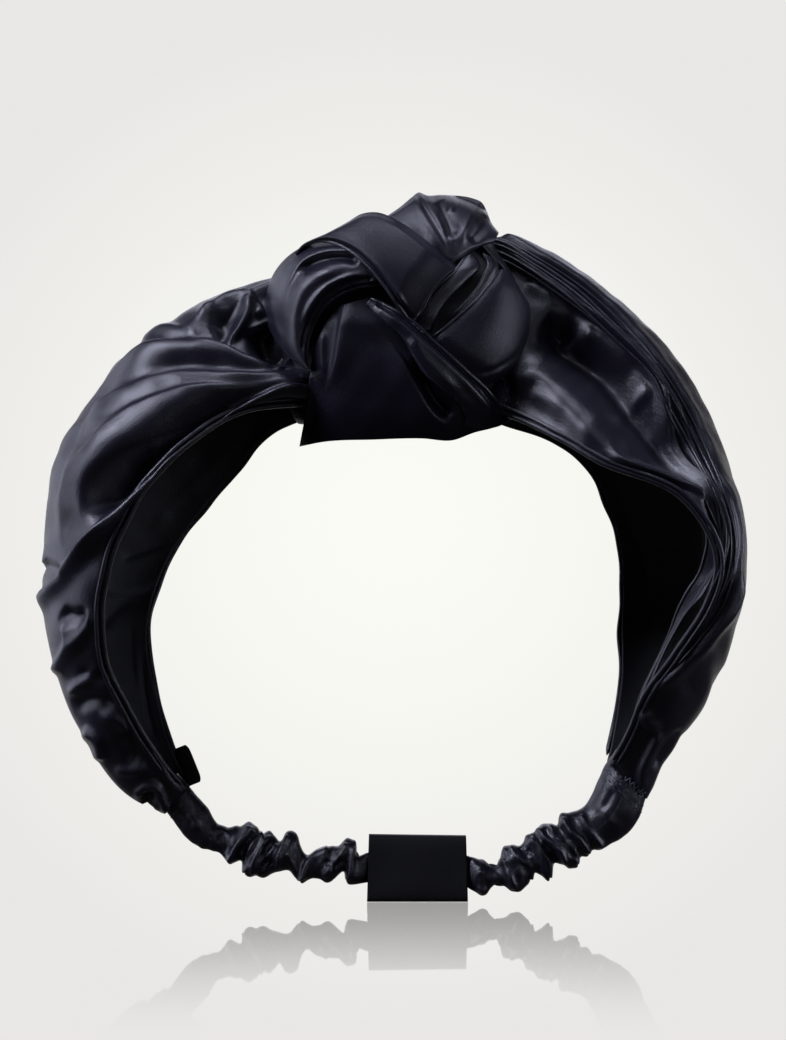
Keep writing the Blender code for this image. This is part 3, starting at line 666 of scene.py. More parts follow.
def make_right_layers(band):
    """The cloth layers folded in along the right band's front edge: narrow strips between one edge line and
    the next, each set deeper than the last and finished with a fine rolled edge."""
    made = []
    for number, (outer, inner) in enumerate(zip(RIGHT_LAYERS[:-1], RIGHT_LAYERS[1:])):
        flat = patch(outer, inner, rows=130, columns=22)
        x, z = flat[..., 0], flat[..., 1]
        turn = np.degrees(np.arctan2(z - LOOP_Z, x - LOOP_X))
        half = along_band(band, turn, "half")
        across = np.linspace(0, 1, 22)[None, :]
        depth = -half * 0.985 + 1.6 + 2.2 * number + 1.4 * across
        depth = depth + 0.35 * unevenness(x, z, 14, 60 + number)
        points = from_eye(x, z, depth)
        strip = cloth(f"right_layer_{number}", points, SATIN_OUT, thick=0.4, outwards=(0, 60, LOOP_Z))
        edge = points[:, -1] + np.array([0, -0.35, 0])
        made += [strip, roll(f"right_layer_edge_{number}", edge, 0.42, SATIN_OUT, sides=8)]
    for obj in made:
        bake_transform(obj)


# ---------------------------------------------------------------- the knot

# The knot's rounded block: its middle, and how far it reaches each way
KNOT = {
    "x": 1.0, "z": 156.0, "left": 36.5, "right": 38.5, "up": 36.5, "down": 44.0, "front": 33.0, "back": 30.0,
}
KNOT_POWER = 2.4
KNOT_HEART = (1.0, 0.0, 150.0)  # every fold's face turns away from here
ENDS, BORDERS = 0.2, 0.12  # the shares of a fold's length and width over which it dives and curls


def knot_depth(x, z, side=-1):
    """Depth of the knot's rounded block at x, z: a rounded box whose sides curve in with a power of 2.4."""
    wide = np.where(x < KNOT["x"], KNOT["left"], KNOT["right"])
    high = np.where(z < KNOT["z"], KNOT["down"], KNOT["up"])
    spent = np.abs((x - KNOT["x"]) / wide) ** KNOT_POWER + np.abs((z - KNOT["z"]) / high) ** KNOT_POWER
    reach = KNOT["front"] if side < 0 else KNOT["back"]
    return side * reach * np.maximum(1 - spent, 0.015) ** (1 / KNOT_POWER)


def patch(left, right, end=None, rows=90, columns=60):
    """A grid in front elevation between four border lines, by Coons' rule: what the two long borders give
    plus what the two short borders give, less the corners. The short border at the start is a straight line,
    and so is the one at the end unless it is given."""
    along = np.linspace(0, 1, rows)[:, None, None]
    across = np.linspace(0, 1, columns)[None, :, None]
    left, right = curve(left, rows), curve(right, rows)
    start = left[0] + (right[0] - left[0]) * across[0]
    end = curve(end, columns) if end else left[-1] + (right[-1] - left[-1]) * across[0]
    ruled = left[:, None, :] * (1 - across) + right[:, None, :] * across
    crossed = start[None] * (1 - along) + end[None] * along
    corners = (
        left[0] * (1 - along) * (1 - across) + left[-1] * along * (1 - across)
        + right[0] * (1 - along) * across + right[-1] * along * across
    )
    return ruled + crossed - corners


def strand(
    name, flat, lift, folds=(), bulge=1.5, dive=(0, 0), curl=(0.0, 0.0), node_names=(), shaded_crosswise=False,
):
    """A fold of the knot over its drawn grid: it lies on the knot's block at its own height, is fullest
    along its middle, dives under at its ends, and its long borders curl back by curl. The flag for cloth
    seen across its floats picks a darker copy of the satin: painted shade on this fold, with the lower gloss
    that such cloth has. Its points are handed back for the fine edges."""
    rows, columns = flat.shape[:2]
    along = np.linspace(0, 1, rows)[:, None]
    across = np.linspace(0, 1, columns)[None, :]
    x, z = flat[..., 0], flat[..., 1]
    height = lift + bulge * np.sin(np.pi * across) ** 0.7
    height = height - dive[0] * (1 - ease(along / ENDS)) - dive[1] * (1 - ease((1 - along) / ENDS))
    height = height - curl[0] * (1 - ease(across / BORDERS)) - curl[1] * (1 - ease((1 - across) / BORDERS))
    height = height + fold_height(x, z, folds)
    height = height + 0.18 * unevenness(x, z, 8, len(name))
    points = from_eye(x, z, knot_depth(x, z) - height)
    made = cloth(name, points, SATIN_CROSS_SHADED if shaded_crosswise else SATIN_OUT, outwards=KNOT_HEART)
    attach(made, "knot")
    if node_names:
        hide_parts(*node_names)
    return points


def edge_roll(name, points, radius=0.5):
    """A fine rolled edge along a row of points, a little proud of the cloth."""
    path = np.array(points)
    path[:, 1] -= 0.25
    made = roll(name, path, radius, SATIN_OUT)
    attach(made, "knot")


# The knot's upper outline as its front folds draw it, and how high the cloth behind it may reach
KNOT_TOP = ((-36, 160), (-33.5, 165), (-30, 170), (-26, 172.5), (-20, 176.5), (-14, 180), (-7, 183.5),
            (-1, 184), (4, 187.5), (8, 189), (15, 189), (22, 188), (26, 182), (30, 176), (34, 168), (38, 158))


def under_folds(points, margin):
    """Points of the knot's block drawn down until, seen from the front, they stay under the knot's upper
    outline by a margin: heights over the knot's middle shrink by outline height / block height."""
    top = np.array(KNOT_TOP, float)
    x = points[..., 0]
    wide = np.where(x < KNOT["x"], KNOT["left"], KNOT["right"])
    spent = np.clip(1 - (np.abs(x - KNOT["x"]) / wide) ** KNOT_POWER, 0.02, 1)
    own = KNOT["up"] * spent ** (1 / KNOT_POWER)
    drawn = through(top[:, 0], top[:, 1], np.clip(x, top[0, 0], top[-1, 0])) - margin - KNOT["z"]
    squeeze = np.clip(drawn / own, 0.05, 1)
    over = points[..., 2] - KNOT["z"]
    shrunk = points.copy()
    shrunk[..., 2] = KNOT["z"] + np.where(over > 0, over * squeeze, over)
    return shrunk


def make_knot_core():
    """The rolled cloth inside: the knot's block a little smaller, with a flat underside towards the head."""
    polar = np.linspace(0, np.pi, 70)[:, None]
    turn = np.linspace(0, 2 * np.pi, 110, endpoint=False)[None, :]
    way = np.stack(
        [np.sin(polar) * np.cos(turn), np.sin(polar) * np.sin(turn), np.cos(polar) + 0 * turn], axis=-1
    )
    wide = np.where(way[..., 0] < 0, KNOT["left"], KNOT["right"])
    deep = np.where(way[..., 1] < 0, KNOT["front"], KNOT["back"])
    high = np.where(way[..., 2] < 0, KNOT["down"], KNOT["up"])
    sizes = np.stack([wide, deep, high], axis=-1)
    reach = (np.abs(way / sizes) ** KNOT_POWER).sum(-1) ** (-1 / KNOT_POWER) - 4.0
    points = way * reach[..., None] + np.array([KNOT["x"], 0, KNOT["z"]])
    points[..., 2] = np.maximum(points[..., 2], 129.0)
    points = under_folds(points, 2.5)
    points[..., 1] += 0.4 * unevenness(points[..., 0], points[..., 2], 10, 5)
    mesh = grid_mesh("knot_core", points[1:-1], round_rows=True, caps=True)
    core = piece("knot_core", mesh, SATIN_IN)
    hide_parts("knot_core")
    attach(core, "knot")


def make_knot():
    """The core, the folds over it from the lowest to the top, and the wrap behind."""
    make_knot_core()
    # the lower flap, which hangs over the front of the knot
    flap = patch(
        ((-14, 161), (-17.6, 157), (-20.8, 150.5), (-22.2, 145), (-22.9, 138), (-23.9, 130.5),
         (-25.3, 122.8)),
        ((-5, 163.5), (2, 157), (9, 150), (17, 142), (25, 135), (32.4, 130.6)),
        end=((-25.3, 122.8), (-19.3, 124), (-5, 124.7), (8, 125), (16, 124.5), (22, 126.6), (28, 128.2),
             (32.4, 130.6)),
        rows=110, columns=120,
    )
    strand(
        "knot_lower_flap", flap, 0.6, bulge=1.0, dive=(1.5, 0),
        node_names=("knot_lower_flap",), shaded_crosswise=True,
        folds=(
            (((-13, 162), (-14.4, 154), (-15.4, 147), (-17.6, 137)), 1.5, 3.4, 0.8, 0, 0.4),
            (((-19, 155), (-19.4, 148), (-18.4, 139)), 0.9, 1.2, 1.6, 0.2, 0.4),
            (((-12, 163), (-7, 156), (-1.5, 149)), 0.7, 3.6, 3.0, 0, 0.5),
            (((-4, 153), (1, 148), (6, 140), (9, 134), (12, 130.4), (15, 128)), 1.8, 0.7, 5.0, 0.45, 0.15),
            (((4, 147), (8, 141), (12, 134.5), (16, 130.5)), -3.4, 1.9, 1.3, 0.35, 0.15),
            (((-23, 143), (-23.4, 134), (-24.8, 124.5)), 0.9, 1.2, 0.9, 0.1, 0.1),
        ),
    )
    # the pleat that runs down across the flap, with its two sewn lines
    band = patch(
        ((-7.4, 161), (-2, 156.2), (2.4, 152.4), (5.2, 147.4), (9, 141.8), (13.5, 138.2), (17.4, 134.6),
         (18.6, 131.4), (18.2, 129)),
        ((-6.2, 163), (0.2, 159.8), (5.8, 156.2), (10.2, 151.9), (14.4, 148.2), (20.2, 142.8), (25.4, 138),
         (29.4, 133), (32.2, 130.2)),
        end=((18.2, 129), (23, 127.6), (28.3, 128.2), (32.2, 130.2)),
        rows=120, columns=60,
    )
    points = strand(
        "knot_diagonal_fold", band, 3.6, bulge=0.9, dive=(2.6, 1.5), curl=(2.6, 0.4),
        node_names=("knot_diagonal_fold",),
        folds=(
            (((-5, 160.8), (0.6, 157.4), (6.2, 152.8), (10.4, 149.2), (16.2, 143.8), (21.2, 139),
              (25.2, 134.2), (27.6, 129.4)), 0.9, 0.5, 1.5, 0.05, 0.1),
            (((-5, 161.8), (1, 158.2), (6.6, 153.9), (11, 150), (16.8, 144.8), (22, 139.8), (26.4, 134.6),
              (29, 129.6)), -0.9, 0.55, 0.5, 0.05, 0.1),
            (((4.4, 153), (8, 147.4), (13, 142.4), (18.5, 136.5)), 1.0, 1.6, 2.2, 0.15, 0.25),
        ),
    )
    edge_roll("knot_diagonal_seam", points[:, -1], 0.55)
    # the right lobe
    lobe = patch(
        ((8.6, 150.6), (14, 155), (18.2, 158.6), (22, 162), (25, 165.4), (27.2, 168.2), (28.7, 170.6)),
        ((24, 138.6), (30.5, 142), (35.8, 147.6), (38.3, 154.6), (37, 160.6), (34, 166), (30.6, 170.8)),
        rows=90, columns=70,
    )
    points = strand(
        "knot_right_lobe", lobe, 1.4, bulge=2.4, dive=(1.6, 1.0), curl=(0.3, 1.6),
        node_names=("knot_right_lobe",), shaded_crosswise=True,
        folds=((((22, 142), (29, 144.4), (34.6, 149), (36.4, 154)), -0.8, 0.8, 0.8, 0.2, 0.2),),
    )
    edge_roll("knot_lobe_hem", points[:, 0], 0.42)
    # two narrow pleats between the strap and the lobe
    pleat = patch(
        ((4.6, 154.8), (8, 160), (10.4, 164.5), (14, 168), (17.6, 171.4), (19.6, 174.4)),
        ((10.6, 154), (12.6, 159), (15.6, 163), (20, 167.4), (23.6, 171.6), (21.6, 175)),
        rows=70, columns=34,
    )
    points = strand(
        "knot_inner_pleat", pleat, 1.5, bulge=0.8, dive=(1.0, 1.5), curl=(0, 1.8),
        node_names=("knot_inner_pleat",),
    )
    edge_roll("knot_inner_pleat_hem", points[:, 0], 0.42)
    pleat = patch(
        ((14.5, 157), (18.4, 160.6), (20.8, 163.2), (23, 166), (24.6, 169.2), (25.8, 172), (24.2, 175)),
        ((17, 157.4), (22, 162), (25, 165.2), (27.8, 168.8), (28.6, 171), (27.4, 174)),
        rows=70, columns=30,
    )
    points = strand("knot_outer_pleat", pleat, 0.9, bulge=0.7, dive=(0.8, 1.0), curl=(0, 0.6))
    edge_roll("knot_outer_pleat_hem", points[:, 0], 0.42)
    # the left loop
    loop = patch(
        ((-6, 176.5), (-14, 178.4), (-21, 178), (-27.4, 175), (-31.6, 170.6), (-34.2, 164.4), (-34.5, 158.4),
         (-32.4, 152.6), (-28.6, 147.6), (-22.6, 143)),
        ((-3, 166.6), (-7, 166.2), (-11, 165.3), (-15.6, 163), (-19.4, 159.4), (-22, 154.4), (-23.2, 149.4),
         (-23, 146), (-22.4, 143.6)),
        rows=130, columns=80,
    )
    points = strand(
        "knot_left_loop", loop, 3.2, bulge=3.0, dive=(1.0, 1.0), curl=(1.8, 1.2),
        node_names=("knot_left_loop",),
        folds=(
            (((-8, 175.4), (-14, 176), (-20, 175.4), (-25, 172.6), (-28, 168), (-29.6, 162), (-29.4, 155)),
             1.3, 0.9, 1.6, 0.15, 0.4),
            (((-9, 173), (-15, 173.6), (-21, 172.2), (-25.6, 169.4)), -2.6, 1.2, 1.3, 0.1, 0.2),
            (((-12, 170), (-19, 169.6), (-24, 166), (-26.8, 160), (-27, 152.5), (-25.4, 147)),
             1.0, 2.0, 2.4, 0.2, 0.2),
            (((-33, 163), (-32.4, 157), (-30, 151.4)), 0.7, 1.1, 0.8, 0.2, 0.2),
            (((-5, 168.2), (-11, 167.4), (-17, 164.4), (-21.2, 159.4), (-23.8, 153), (-24.6, 147.6)),
             -1.0, 0.6, 0.7, 0.05, 0.1),
            (((-7, 169.6), (-12, 168.8), (-18, 166), (-22.6, 160.6), (-25, 154)), 0.6, 0.8, 0.8, 0.1, 0.3),
        ),
    )
    edge_roll("knot_loop_hem", points[:, -1], 0.5)
    # the strap over the top
    strap = patch(
        ((-26.6, 175), (-23.5, 177.8), (-18, 180.4), (-12.4, 183.4), (-8.4, 185.7), (-4.4, 186.1),
         (-0.6, 184.9), (4, 182.2), (8.6, 178.8), (13, 175.4), (17.6, 171.8)),
        ((-26, 174.6), (-23.8, 177), (-20, 178.4), (-15.6, 177.7), (-10.6, 175), (-5.8, 170.6), (-2, 165.8),
         (1.6, 160.6), (5, 156)),
        end=((17.6, 171.8), (13.6, 168.2), (10, 164.2), (7.6, 160), (5, 156)),
        rows=120, columns=70,
    )
    points = strand(
        "knot_over_strap", strap, 6.4, bulge=1.3, dive=(2.5, 3.0), curl=(3.2, 0.6),
        node_names=("knot_over_strap",), shaded_crosswise=True,
        folds=(
            (((-24, 178.4), (-17, 179.4), (-10.4, 177), (-4.6, 172), (0, 166), (4, 160)),
             0.7, 0.6, 0.6, 0.1, 0.1),
            (((-23, 177.6), (-17, 178.5), (-11, 176.2), (-5.4, 171.4), (-0.8, 165.4), (3.2, 159.4)),
             -0.7, 0.5, 0.5, 0.1, 0.1),
        ),
    )
    edge_roll("knot_strap_hem", points[:, -1], 0.5)
    # the tail that stands up behind the strap
    tail = patch(
        ((-2.4, 184.6), (2, 187.6), (5, 190.1), (7, 191.5), (9, 190.7), (13, 190.8), (17, 190.6), (21, 190),
         (24, 188.7), (25.3, 186.4), (26.6, 183.2), (28.6, 180.6)),
        ((-1, 182), (4, 179), (8, 176), (12, 173.5), (16, 172), (19, 174), (22, 176), (27.4, 178)),
        rows=120, columns=60,
    )
    strand(
        "knot_top_tail", tail, 1.0, bulge=1.6, dive=(1.5, 1.0), curl=(1.2, 0.8),
        node_names=("knot_top_tail",),
        folds=(
            (((5.2, 191), (7.6, 186.6), (10.4, 182), (13.4, 177.2), (16, 173)), 1.5, 0.7, 2.6, 0, 0.4),
            (((7, 191.6), (10, 187), (12.8, 182.4), (14.8, 178), (16.6, 173.6)), 1.4, 0.6, 0.6, 0, 0.5),
            (((8.8, 190.9), (11.8, 186), (14.4, 181.4), (16.4, 177), (17.2, 174)), 1.5, 1.0, 0.6, 0, 0.5),
            (((12, 189), (14.2, 184), (16.2, 178.6)), -1.8, 1.8, 1.2, 0.05, 0.2),
            (((16.4, 190.6), (16.2, 188), (14.4, 185.6)), 0.8, 0.9, 0.9, 0.1, 0.3),
            (((24.4, 189), (22.4, 187.4), (20.8, 184.6), (19.4, 181), (18, 176)), 2.2, 1.2, 2.6, 0, 0.4),
            (((26, 185), (23.4, 181.4), (20.4, 178)), -1.8, 2.0, 1.6, 0.1, 0.2),
        ),
    )
    make_back_wrap()


def make_back_wrap():
    """The cloth round the back and over the top of the knot: the block's own shape between the two bands,
    with pleats that run across it from side to side, kept below the outline of the folds in front."""
    side = np.linspace(-1, 1, 130)[:, None]
    lift = np.linspace(-0.55, 2.35, 150)[None, :]
    way = np.stack(
        [
            np.sin(side * 1.30) + 0 * lift,
            np.cos(side * 1.30) * np.cos(lift),
            np.cos(side * 1.05) * np.sin(lift),
        ],
        axis=-1,
    )
    wide = np.where(way[..., 0] < 0, KNOT["left"], KNOT["right"])
    deep = np.where(way[..., 1] < 0, KNOT["front"], KNOT["back"])
    sizes = np.stack([wide, deep, np.full(wide.shape, KNOT["up"])], axis=-1)
    reach = (np.abs(way / sizes) ** KNOT_POWER).sum(-1) ** (-1 / KNOT_POWER) - 0.6
    pleats = 1.5 * np.abs(np.sin(lift * 4.4 + 0.7 * side**2 + 0.35 * np.sin(3 * side))) ** 1.3
    pleats = pleats + 0.4 * unevenness(30 * side, 30 * lift, 14, 3)
    points = way * (reach + pleats - 1.5)[..., None] + np.array([KNOT["x"], 0, KNOT["z"]])
    points = under_folds(points, 0.5 + 0.09 * np.maximum(-points[..., 1], 0))
    wrap = cloth("knot_back_wrap", points, SATIN_OUT, outwards=(KNOT["x"], 0, KNOT["z"]))
    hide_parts("knot_back_wrap")
    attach(wrap, "knot")


# ---------------------------------------------------------------- casing, sleeve, tag and stitches

SLEEVE_X = 6.6  # the sleeve's middle
SLEEVE_HALF = 12.6  # the half width over which it presses the casing flat
PRESSED = 1.9  # the casing's half depth there
TOPSTITCH = (1.6, 0.8, 0.16, 0.25)  # each stitch's length, the gap, the thread's radius and its hump
TAG_LEAN = 22  # degrees by which the tag leans out of the upright
TAG_HALF = 5.4  # half its height
TAG_REACH = 2.1  # how far it stands out
TAG_GAP = 0.42  # half the space between its two layers

# Each half of the casing: its upper and lower outline and its gathers, as folds
LEFT_CASING = {
    "top": ((-58.2, 34.6), (-53.8, 29.6), (-50, 25.2), (-47.4, 21.2), (-44, 20), (-41, 20.6), (-39, 21.6),
            (-36.6, 20), (-35.4, 18.6), (-33.6, 19.2), (-31.6, 17), (-30.6, 16.2), (-28.4, 19), (-26.6, 18.6),
            (-25, 15), (-23.8, 12.8), (-21.4, 13), (-19, 14.6), (-15, 15.2), (-12, 17), (-10.4, 16.4),
             (-9.4, 12.4),
            (-7, 13.2), (-2, 13.4), (5.6, 13.4)),
    "bottom": ((-64, 27.6), (-60, 22.8), (-56, 17.4), (-52, 14.6), (-46.6, 13), (-44, 10.2), (-41, 11),
               (-39.8, 7.4), (-38.4, 6.4), (-36.6, 7.2), (-35, 6.3), (-32.6, 7.4), (-28.6, 8.4), (-26, 7),
                (-24.6, 5),
               (-23, 5.8), (-20.6, 6.2), (-18, 5), (-15.8, 6), (-13.4, 8.2), (-12.2, 5), (-9, 4.8),
               (-6.6, 5.2), (-1, 5.2), (5.6, 5.2)),
    "folds": (
        (((-44.4, 11), (-42.6, 15), (-40, 18.4), (-38.6, 20.8)), 1.5, 0.7, 1.6, 0.1, 0.1),
        (((-40, 8), (-39.6, 12), (-37.4, 16.4), (-35, 18.6)), 1.6, 0.7, 1.4, 0.1, 0.1),
        (((-37.8, 7), (-37.6, 11), (-35.4, 15), (-33, 18.4)), 1.3, 0.6, 0.9, 0.1, 0.1),
        (((-35, 7), (-36, 11), (-33.4, 13), (-31.4, 16)), 1.4, 0.7, 1.0, 0.1, 0.1),
        (((-41.6, 13), (-39, 17), (-37, 19)), -1.4, 0.9, 0.9, 0.1, 0.1),
        (((-34.6, 16), (-34, 14), (-33, 10)), -1.4, 1.2, 1.2, 0.1, 0.1),
        (((-31, 9), (-30.4, 14), (-28.4, 18.4)), 1.4, 0.9, 1.0, 0.1, 0.1),
        (((-28.6, 14), (-27, 11), (-24.6, 6)), 1.3, 0.9, 1.3, 0.1, 0.1),
        (((-24.4, 6), (-23.6, 10), (-21, 12.6), (-17, 14.4)), 1.5, 0.8, 1.0, 0.1, 0.1),
        (((-19.6, 7), (-17.4, 9), (-14, 13), (-12.6, 16.4)), 1.3, 0.8, 1.2, 0.1, 0.1),
        (((-18.6, 11.6), (-15.6, 10), (-13.4, 12)), -1.5, 1.0, 1.0, 0.1, 0.1),
        (((-12.4, 6), (-11.4, 10), (-10.4, 15)), 1.2, 0.8, 0.9, 0.1, 0.1),
        (((-55, 25), (-53, 21.6), (-53.6, 19)), 0.7, 1.2, 1.2, 0.3, 0.3),
        (((-46.6, 19), (-45, 16), (-44.4, 13)), -1.0, 1.0, 1.0, 0.2, 0.2),
    ),
}
RIGHT_CASING = {
    "top": ((60.2, 41), (56.9, 36.2), (54.6, 31), (51.8, 26), (49.6, 24.6), (47, 24), (45.6, 23.8),
            (44, 20.8), (41.6, 21.2), (39.6, 20.8), (38.2, 18.6), (36.2, 17.8), (35, 15.8), (31.8, 15.2),
            (30, 15), (28.8, 11.2), (27.6, 9.6), (24.6, 11.2), (21.6, 12), (18, 13), (7.6, 13.4)),
    "bottom": ((70.4, 32.4), (68.2, 27.6), (66.4, 22.6), (63.4, 18.4), (59, 15.6), (56, 14), (53.6, 13.8),
               (52.4, 12), (50.2, 11.8), (49.6, 9.6), (47.6, 9), (45.6, 10), (43, 9.4), (41.8, 5.6),
                (39.6, 7.2),
               (37.8, 8), (36.6, 4.6), (32.6, 2.6), (30, 4), (27.4, 4.6), (24.8, 1.6), (21.4, 3), (18, 5),
               (7.6, 5.2)),
    "folds": (
        (((56.6, 14.8), (53.4, 19), (50.4, 23.8)), 1.2, 1.1, 0.8, 0.1, 0.1),
        (((53, 13), (50.4, 17.4), (47.4, 19.4), (45.6, 23.2)), 1.5, 0.9, 0.8, 0.1, 0.1),
        (((50, 10.4), (48.4, 14.6), (44.6, 18), (42, 20.8)), 1.5, 0.9, 0.8, 0.1, 0.1),
        (((46.4, 9.8), (45, 14), (41.4, 17), (38.6, 20)), 1.4, 0.8, 0.8, 0.1, 0.1),
        (((42.6, 6.6), (42, 11), (39, 15.4), (36.6, 17.4)), 1.5, 0.9, 0.8, 0.1, 0.1),
        (((37.4, 6), (36.6, 10), (34, 12.4), (31.6, 15)), 1.4, 0.9, 0.9, 0.1, 0.1),
        (((33, 3.6), (31, 8), (29.4, 11.6)), 1.4, 1.0, 1.0, 0.1, 0.1),
        (((27.2, 5.4), (28, 8), (28.4, 9.6)), 1.0, 0.9, 0.9, 0.1, 0.1),
        (((25.6, 3), (22, 4.4), (22.6, 8), (25.6, 8.2)), 1.0, 0.7, 0.7, 0.2, 0.2),
        (((48.6, 12), (46.6, 16.4), (43.4, 19)), -1.2, 0.7, 0.7, 0.1, 0.1),
        (((44, 9.6), (43.4, 13), (40.4, 16.4)), -1.2, 0.7, 0.7, 0.1, 0.1),
        (((40, 8), (38.6, 12.4), (36, 15)), -1.2, 0.7, 0.7, 0.1, 0.1),
        (((53.6, 26), (57, 24), (58.6, 20)), 0.8, 1.6, 1.2, 0.3, 0.3),
        (((59.6, 31), (57.4, 27), (54.4, 23.4)), -0.6, 0.9, 0.9, 0.2, 0.2),
    ),
}


def make_casing(side, casing, seed):
    """The satin tube on the elastic: at each place an oval between its upper and lower outline, with the
    gathers raised over it. It is pressed flat inside the sleeve, and puffs out most where it is widest. Its
    points and its middle line are handed back for the elastic and the stitches."""
    rows, columns = 230, 72
    top, bottom = curve(casing["top"], rows), curve(casing["bottom"], rows)
    middle = (top + bottom) / 2
    up = (top - bottom) / 2
    tall = np.linalg.norm(up, axis=1)
    inside = ease((np.abs(middle[:, 0] - SLEEVE_X) - SLEEVE_HALF) / 5)
    deep = (PRESSED + (0.72 * tall + 1.2 - PRESSED) * inside)[:, None]
    turn = np.linspace(0, 2 * np.pi, columns, endpoint=False)[None, :]
    x = middle[:, :1] + up[:, :1] * np.sin(turn)
    z = middle[:, 1:] + up[:, 1:] * np.sin(turn)
    y = -deep * np.cos(turn)
    base = np.stack([x, y + 0 * x, z], axis=-1)
    away = base - np.stack([middle[:, :1] + 0 * x, 0 * x, middle[:, 1:] + 0 * x], axis=-1)
    away /= np.linalg.norm(away, axis=-1, keepdims=True)
    folds = fold_height(x, z, casing["folds"]) * inside[:, None] * np.where(y < 0, 1.0, 0.9)
    gathered = 0.22 + 0.78 * ease((54 - np.abs(middle[:, 0])) / 9)
    ripple = 0.42 * unevenness(x * 1.6, z + 0.4 * y, 6, seed) * (inside * gathered)[:, None]
    points = base + away * (0.8 * folds + ripple)[..., None]
    rim = middle[rows // 2]
    made = cloth(
        f"{side}_casing", points, SATIN_OUT, thick=0.45, outwards=(rim[0], 0, rim[1]), round_rows=True,
    )
    stretches(made, f"{side}_casing")
    return points, middle


def stretches(made, node_name):
    """Hides the frame's part of the same name and bakes the piece's placement into its mesh."""
    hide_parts(node_name)
    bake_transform(made)


def make_strip(side, middle):
    """The elastic inside the casing: a flat braid along the casing's middle, a little rippled."""
    path = np.stack([middle[:, 0], 0.5 * np.sin(middle[:, 0] / 1.7), middle[:, 1]], axis=1)[14:-2]
    flat, deep = frames(path)
    turn = np.linspace(0, 2 * np.pi, 20, endpoint=False)[None, :, None]
    points = path[:, None, :] + 2.6 * np.cos(turn) * flat[:, None, :] + 0.6 * np.sin(turn) * deep[:, None, :]
    mesh = grid_mesh(f"{side}_elastic_strip", points[:, ::-1], round_rows=True, caps=True)
    made = piece(f"{side}_elastic_strip", mesh, ELASTIC)
    stretches(made, f"{side}_elastic_strip")


def front_of(points, share, swell):
    """The eye's side of a tube's section at a share of its length, from its lower to its upper edge, pushed
    out by swell."""
    ring = points[int(share * (len(points) - 1))]
    middle = ring.mean(0)
    away = ring - middle
    ring = ring + swell * away / np.linalg.norm(away, axis=1, keepdims=True)
    front = ring[ring[:, 1] < middle[1] - 1.3]
    return front[np.argsort(front[:, 2])]


def sew_joins(left_points, right_points):
    """Rows of stitches where the bands are sewn to the casing, and the zigzag that holds the right edge."""
    left = stitches("left_join_stitch", front_of(left_points, 0.075, 0.5), *TOPSTITCH)
    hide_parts("left_join_stitch")
    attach(left, "left_band")
    rows = [
        stitches(f"right_join_stitch_{number}", front_of(right_points, share, 0.5), *TOPSTITCH)
        for number, share in enumerate((0.085, 0.105))
    ]
    right = joined("right_join_stitch", rows)
    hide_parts("right_join_stitch")
    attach(right, "right_band")
    base = front_of(right_points, 0.055, 0.7)
    part = base[len(base) // 6: -len(base) // 8]
    step = np.linspace(0, 1, 90)
    place = np.linspace(0, 1, len(part))
    path = np.stack([np.interp(step, place, part[:, k]) for k in range(3)], axis=1)
    swing = 0.9 * (2 / np.pi) * np.arcsin(np.sin(step * 2 * np.pi * 9))
    path += swing[:, None] * np.array([0.55, -0.12, 0.8])
    anchor = roll("right_anchor_stitch", path, 0.2, THREAD, sides=8)
    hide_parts("right_anchor_stitch")
    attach(anchor, "right_band")


def sew_label():
    """The sleeve's seam: a row of stitches down the middle of its back."""
    low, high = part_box("label_sleeve")
    x = (low.x + high.x) / MM / 2
    z = np.linspace(low.z / MM + 2.0, high.z / MM - 2.0, 40)
    path = np.stack([np.full(40, x), np.full(40, high.y / MM * 0.94), z], axis=1)
    made = stitches("label_seam_stitch", path, 1.4, 0.7, 0.15, -0.2)
    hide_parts("label_seam_stitch")
    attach(made, "label")


def sew_tack():
    """The few stitches that hold the knot's strap down at its lower corner."""
    path = np.stack([np.linspace(5.0, 8.2, 12), np.zeros(12), np.linspace(156.4, 153.4, 12)], axis=1)
    points = from_eye(path[:, 0], path[:, 2], knot_depth(path[:, 0], path[:, 2]) - 4.6)
    made = stitches("knot_tack_stitch", points, 1.0, 0.4, 0.16, 0.3)
    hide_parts("knot_tack_stitch")
    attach(made, "knot")


def make_sleeve():
    """The woven sleeve: a ribbon folded flat round the casing, its ends open, its corners a little off
    square, standing on its lower fold."""
    low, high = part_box("label_sleeve")
    rows, columns = 60, 96
    along = np.linspace(0, 1, rows)[:, None]
    turn = np.linspace(0, 2 * np.pi, columns, endpoint=False)[None, :]
    left, right = low.x / MM, high.x / MM
    tall = (high.z - low.z) / MM / 2
    deep = (high.y - low.y) / MM / 2
    squared = 5.0
    way = np.stack([np.cos(turn), np.sin(turn)], axis=-1)
    reach = (np.abs(way) ** squared).sum(-1) ** (-1 / squared)
    y = -deep * 0.92 * way[..., 0] * reach
    z = tall + tall * way[..., 1] * reach
    lean = 0.5 * (0.5 - z / (2 * tall))
    x = left + (right - left) * along + lean * (1 - 2 * along) * -1
    z = z + 0.35 * (0.5 - along) * (z / (2 * tall))
    y = y * (1 - 0.10 * np.cos(2 * np.pi * along) * (1 - np.abs(z / tall - 1) ** 2))
    points = np.stack(np.broadcast_arrays(x, y, z), axis=-1)
    made = cloth(
        "label_sleeve", points, RIBBON, thick=0.6,
        outwards=(points[0, :, 0].mean(), 0, tall), round_rows=True,
    )
    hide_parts("label_sleeve")
    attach(made, "label")


